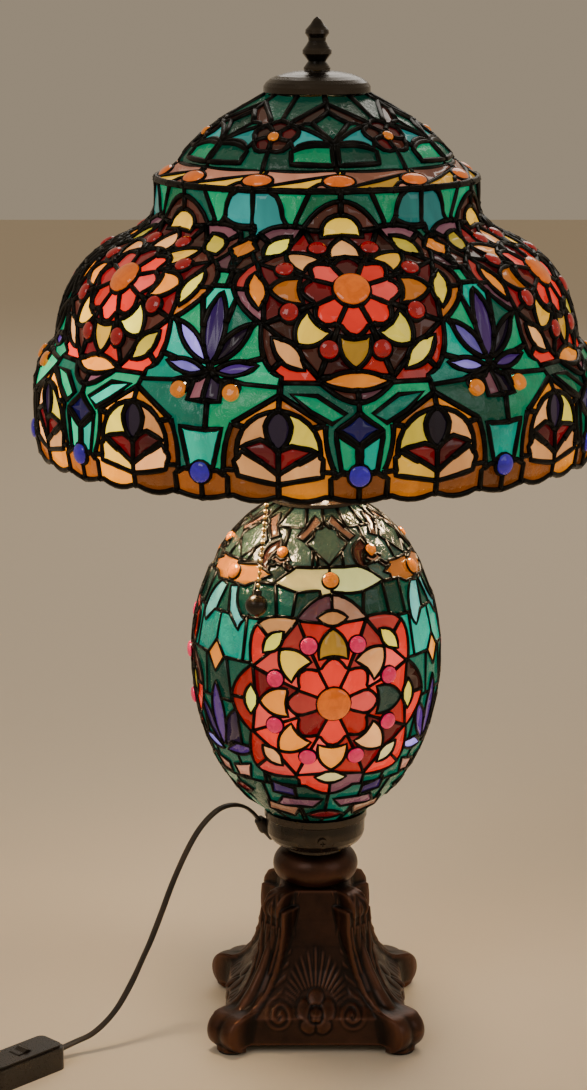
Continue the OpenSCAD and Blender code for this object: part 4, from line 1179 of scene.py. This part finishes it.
def reliefAt(u, v, wide, phi):
    # how far a point of one face stands out, in millimetres; u runs across and v up
    rise = 0.0
    share = abs(u) / max(1.0, wide)

    def ridge(value, width):
        return max(0.0, 1.0 - (value / width) ** 2)

    rise += 1.3 * ridge(share - 0.93, 0.06) if v < 88 else 0.0
    rise += 0.8 * ridge(share - 0.80, 0.03) if v < 88 else 0.0
    petals = math.hypot(u, v - 28)
    angle = math.atan2(v - 28, u)
    edge = 15.0 * (0.62 + 0.38 * math.sqrt(abs(math.cos(2.5 * (angle - math.pi / 2)))))
    if petals < edge:
        t = petals / edge
        rise += 2.6 * math.sqrt(max(0.0, 1 - t ** 4)) * (0.55 + 0.45 * abs(math.cos(2.5 * (angle - math.pi / 2))))
        rise += 2.4 * ridge(petals, 4.4)
        rise -= 1.2 * ridge(petals - 5.2, 1.2)
    else:
        for side in (-1, 1):
            gap = math.hypot(u - 27 * side, v - 27)
            if gap < 12:
                turn = math.atan2(v - 27, (u - 27 * side) * side) / (2 * math.pi)
                rise += 1.3 * max(0.0, math.cos(2 * math.pi * (gap / 5.0 - turn))) * ridge(gap, 13)
        if share < 0.74 and v > 14:
            far = math.hypot(u, v - 28)
            lean = math.atan2(abs(u), v - 28)
            reachOut = 44 - 16 * lean
            if 17 < far < reachOut and v > 36:
                rise += 0.8 * max(0.0, math.cos(lean * 2 * math.pi / 0.15)) * min(1.0, (reachOut - far) / 6)
            elif 36 < v < 74 and share > 0.5:
                rise += 0.6 * max(0.0, math.cos((v * 0.7 + abs(u) * 0.5) * 2 * math.pi / 5.2))
    if v > 78 and share > 0.42:
        rise += 0.9 * max(0.0, math.cos(abs(u) * 2 * math.pi / 4.2)) * min(1.0, (v - 78) / 5)
    return rise


def makeBase(facts):
    bm = bmesh.new()
    bm.from_mesh(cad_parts["base_casting"].data)
    tree = BVHTree.FromBMesh(bm)
    bm.free()
    low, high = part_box("base_casting")
    lowZ, topZ = low[2] / mm, high[2] / mm
    reach = []
    for j in range(facts["rows"] + 1):
        z = lowZ + 0.15 + (topZ - lowZ - 0.3) * j / facts["rows"]
        row = []
        for i in range(facts["around"]):
            a = 2 * math.pi * i / facts["around"]
            way = Vector((math.cos(a), math.sin(a), 0))
            hit = tree.ray_cast(way * 0.3 + Vector((0, 0, z * mm)), -way)[0]
            r = math.hypot(hit.x, hit.y) / mm if hit is not None and hit.dot(way) > 0 else 0.0
            row.append(r)
        reach.append((z, row))
    widest = max(high[0], -low[0]) / mm
    bm = bmesh.new()
    grid = []
    for z, row in reach:
        line = []
        for i, r in enumerate(row):
            a = 360.0 * i / facts["around"]
            phi = (a + 45.0) % 90.0 - 45.0
            corner = row[round(((math.floor((a + 45.0) / 90.0) * 90.0 + 45.0) % 360.0) / 360.0 * facts["around"]) % len(row)]
            wide = max(r, corner) * 0.7071
            if r <= 0:
                line.append(None)
                continue
            out = r + reliefAt(r * math.sin(math.radians(phi)), z, wide, phi) - 0.9
            x, y = out * math.cos(math.radians(a)), out * math.sin(math.radians(a))
            x, y = max(-widest, min(widest, x)), max(-widest, min(widest, y))
            line.append(bm.verts.new((x * mm, y * mm, z * mm)))
        grid.append(line)
    for j in range(len(grid) - 1):
        for i in range(facts["around"]):
            n = (i + 1) % facts["around"]
            corners = [grid[j][i], grid[j][n], grid[j + 1][n], grid[j + 1][i]]
            if None in corners:
                continue
            radii = [reach[j][1][i], reach[j][1][n], reach[j + 1][1][n], reach[j + 1][1][i]]
            if max(radii) - min(radii) > 16 and reach[j][0] < 60:
                continue
            bm.faces.new(corners)
    top = [v for v in grid[-1] if v is not None]
    if len(top) > 2:
        inner = []
        for v in top:
            flat = Vector((v.co.x, v.co.y, 0)).normalized() * 20 * mm
            inner.append(bm.verts.new((flat.x, flat.y, v.co.z)))
        for k in range(len(top)):
            bm.faces.new((top[k], top[(k + 1) % len(top)], inner[(k + 1) % len(top)], inner[k]))
    bmesh.ops.delete(bm, geom=[v for v in bm.verts if not v.link_faces], context="VERTS")
    bmesh.ops.smooth_vert(bm, verts=bm.verts, factor=0.35, use_axis_x=True, use_axis_y=True, use_axis_z=False)
    piece = newObject("baseBody", bm, [castBronze])
    solid = piece.modifiers.new("thickness", "SOLIDIFY")
    solid.thickness = facts["wall"] * mm
    solid.offset = -1.0
    return piece


stand(makeBase(baseFacts), "stand", "bronze", "base_casting")
print("base made")


# the cord, from the cup through the switch to the coil behind, and to the plug

cordFacts = {
    "wide": 5.8, "thick": 3.0, "length": 1.8, "coil": (-292.0, -112.0), "outer": 37.0, "inner": 31.0, "layer": 3.2,
    "switch": (-215.0, -108.0), "switchTurn": 226.0,
}


def cordPath(facts):
    c, s = math.cos(math.radians(facts["switchTurn"])), math.sin(math.radians(facts["switchTurn"]))
    sx, sy = facts["switch"]
    route = [
        (-43, 3, 158), (-48, 0, 165), (-54, -4, 170.5), (-62, -9, 173.5), (-71, -14, 172.5), (-80, -19, 166.5),
        (-89, -24, 156), (-98, -29, 140), (-107, -34, 120), (-115, -39, 99), (-123, -44, 79), (-129, -47, 66),
        (-135, -50, 53), (-141, -54, 42), (-148, -58, 31), (-157, -62, 21), (-167, -67, 14), (-178, -72, 10.5),
        (-187, -79, 8.8), (sx - 32.5 * c, sy - 32.5 * s, 8.5), (sx, sy, 8.5), (sx + 32.5 * c, sy + 32.5 * s, 8.5),
        (-243, -137, 6.2), (-249, -142, 3.4), (-257, -146, 2), (-268, -149, 1.6), (-279, -150, 2),
    ]
    cx, cy = facts["coil"]
    columns = [facts["outer"], facts["inner"], facts["inner"], facts["outer"], facts["outer"], facts["inner"],
               facts["outer"]]
    layers = [0, 0, 1, 1, 2, 2, 3]
    total = 6.25
    for i in range(int(total * 24) + 1):
        t = i / 24
        k = min(6, int(t))
        near = t - k
        blend = min(1.0, near / 0.16) if k > 0 else 1.0
        blend = blend * blend * (3 - 2 * blend)
        before = max(0, k - 1)
        r = columns[before] + (columns[k] - columns[before]) * blend
        z = 2.7 + facts["layer"] * (layers[before] + (layers[k] - layers[before]) * blend)
        a = math.radians(-90 - 360 * t)
        route.append((cx + r * math.cos(a), cy + r * math.sin(a), z))
    route += [(-332, -100, 9.5), (-335, -88, 7.5), (-337, -78, 6.6), (-338, -68, 6.5)]
    return [Vector(p) * mm for p in route]


def makeCord(facts):
    knots = cordPath(facts)
    path = []
    for i in range(len(knots) - 1):
        a, b = knots[i], knots[i + 1]
        before = knots[i - 1] if i else a * 2 - b
        after = knots[i + 2] if i + 2 < len(knots) else b * 2 - a
        steps = max(1, round((b - a).length / 0.003))
        for k in range(steps):
            t = k / steps
            path.append(0.5 * (2 * a + (b - before) * t + (2 * before - 5 * a + 4 * b - after) * t * t
                               + (3 * a - before - 3 * b + after) * t ** 3))
    path.append(knots[-1])
    bm = bmesh.new()
    rings = []
    sides = 12
    for i, point in enumerate(path):
        way = (path[min(i + 1, len(path) - 1)] - path[max(i - 1, 0)]).normalized()
        side = way.cross(Vector((0, 0, 1)))
        side = side.normalized() if side.length > 1e-4 else Vector((1, 0, 0))
        up = side.cross(way)
        ring = []
        for k in range(sides):
            a = 2 * math.pi * (k + 0.5) / sides
            wide = math.copysign(abs(math.cos(a)) ** 0.7, math.cos(a)) * facts["wide"] / 2
            waist = 1.0 - 0.18 * math.exp(-(math.cos(a) / 0.35) ** 2)
            tall = math.copysign(abs(math.sin(a)) ** 0.8, math.sin(a)) * facts["thick"] / 2 * waist
            ring.append(bm.verts.new(point + (side * wide + up * tall) * mm))
        rings.append(ring)
    for a, b in zip(rings, rings[1:]):
        for k in range(sides):
            bm.faces.new((a[k], a[(k + 1) % sides], b[(k + 1) % sides], b[k]))
    bm.faces.new(list(reversed(rings[0])))
    bm.faces.new(rings[-1])
    bmesh.ops.recalc_face_normals(bm, faces=bm.faces)
    piece = newObject("flatCord", bm, [cordVinyl])
    stand(piece, "stand", "cord_vinyl", "power_cord", "cord_tail", "cord_coil", "plug_lead")
    length = sum((b - a).length for a, b in zip(path, path[1:]))
    print("cord made", round(length, 3))


makeCord(cordFacts)


# surroundings

stageFacts = {"floor": (0.80, 0.70, 0.56), "reach": 6.0, "back": 1.6}


def makeStage(facts):
    material, tree, shader = nodeMaterial("plainFloor")
    shader.inputs["Base Color"].default_value = (*facts["floor"], 1)
    shader.inputs["Roughness"].default_value = 0.85
    bm = bmesh.new()
    bmesh.ops.create_grid(bm, x_segments=1, y_segments=1, size=facts["reach"])
    floor = newObject("floor", bm, [material], False)
    for name, place, energy, size, colour in (
        ("keyLight", (-1.6, -2.2, 2.6), 15.0, 1.6, (1.0, 0.97, 0.93)),
        ("fillLight", (2.2, -1.6, 1.8), 7.0, 1.8, (0.93, 0.96, 1.0)),
        ("backLight", (0.4, 2.4, 2.2), 16.0, 1.8, (1.0, 0.95, 0.88)),
    ):
        data = bpy.data.lights.new(name, "AREA")
        data.energy = energy
        data.size = size
        data.color = colour
        lamp = bpy.data.objects.new(name, data)
        lamp.location = place
        lamp.rotation_euler = (Vector((0, 0, 0.4)) - Vector(place)).to_track_quat("-Z", "Y").to_euler()
        bpy.context.collection.objects.link(lamp)
    for name, node, power in (("leftGlow", "left_bulb", 3.0), ("rightGlow", "right_bulb", 3.0)):
        data = bpy.data.lights.new(name, "POINT")
        data.energy = power
        data.shadow_soft_size = 0.03
        data.color = (1.0, 0.72, 0.42)
        lamp = bpy.data.objects.new(name, data)
        lamp.location = middleOf(node) + Vector((0, 0, -0.03))
        bpy.context.collection.objects.link(lamp)
    world = bpy.data.worlds.new("softRoom")
    world.use_nodes = True
    world.node_tree.nodes["Background"].inputs[0].default_value = (0.86, 0.70, 0.50, 1)
    world.node_tree.nodes["Background"].inputs[1].default_value = 0.38
    bpy.context.scene.world = world
    print("stage and lights made")


makeStage(stageFacts)
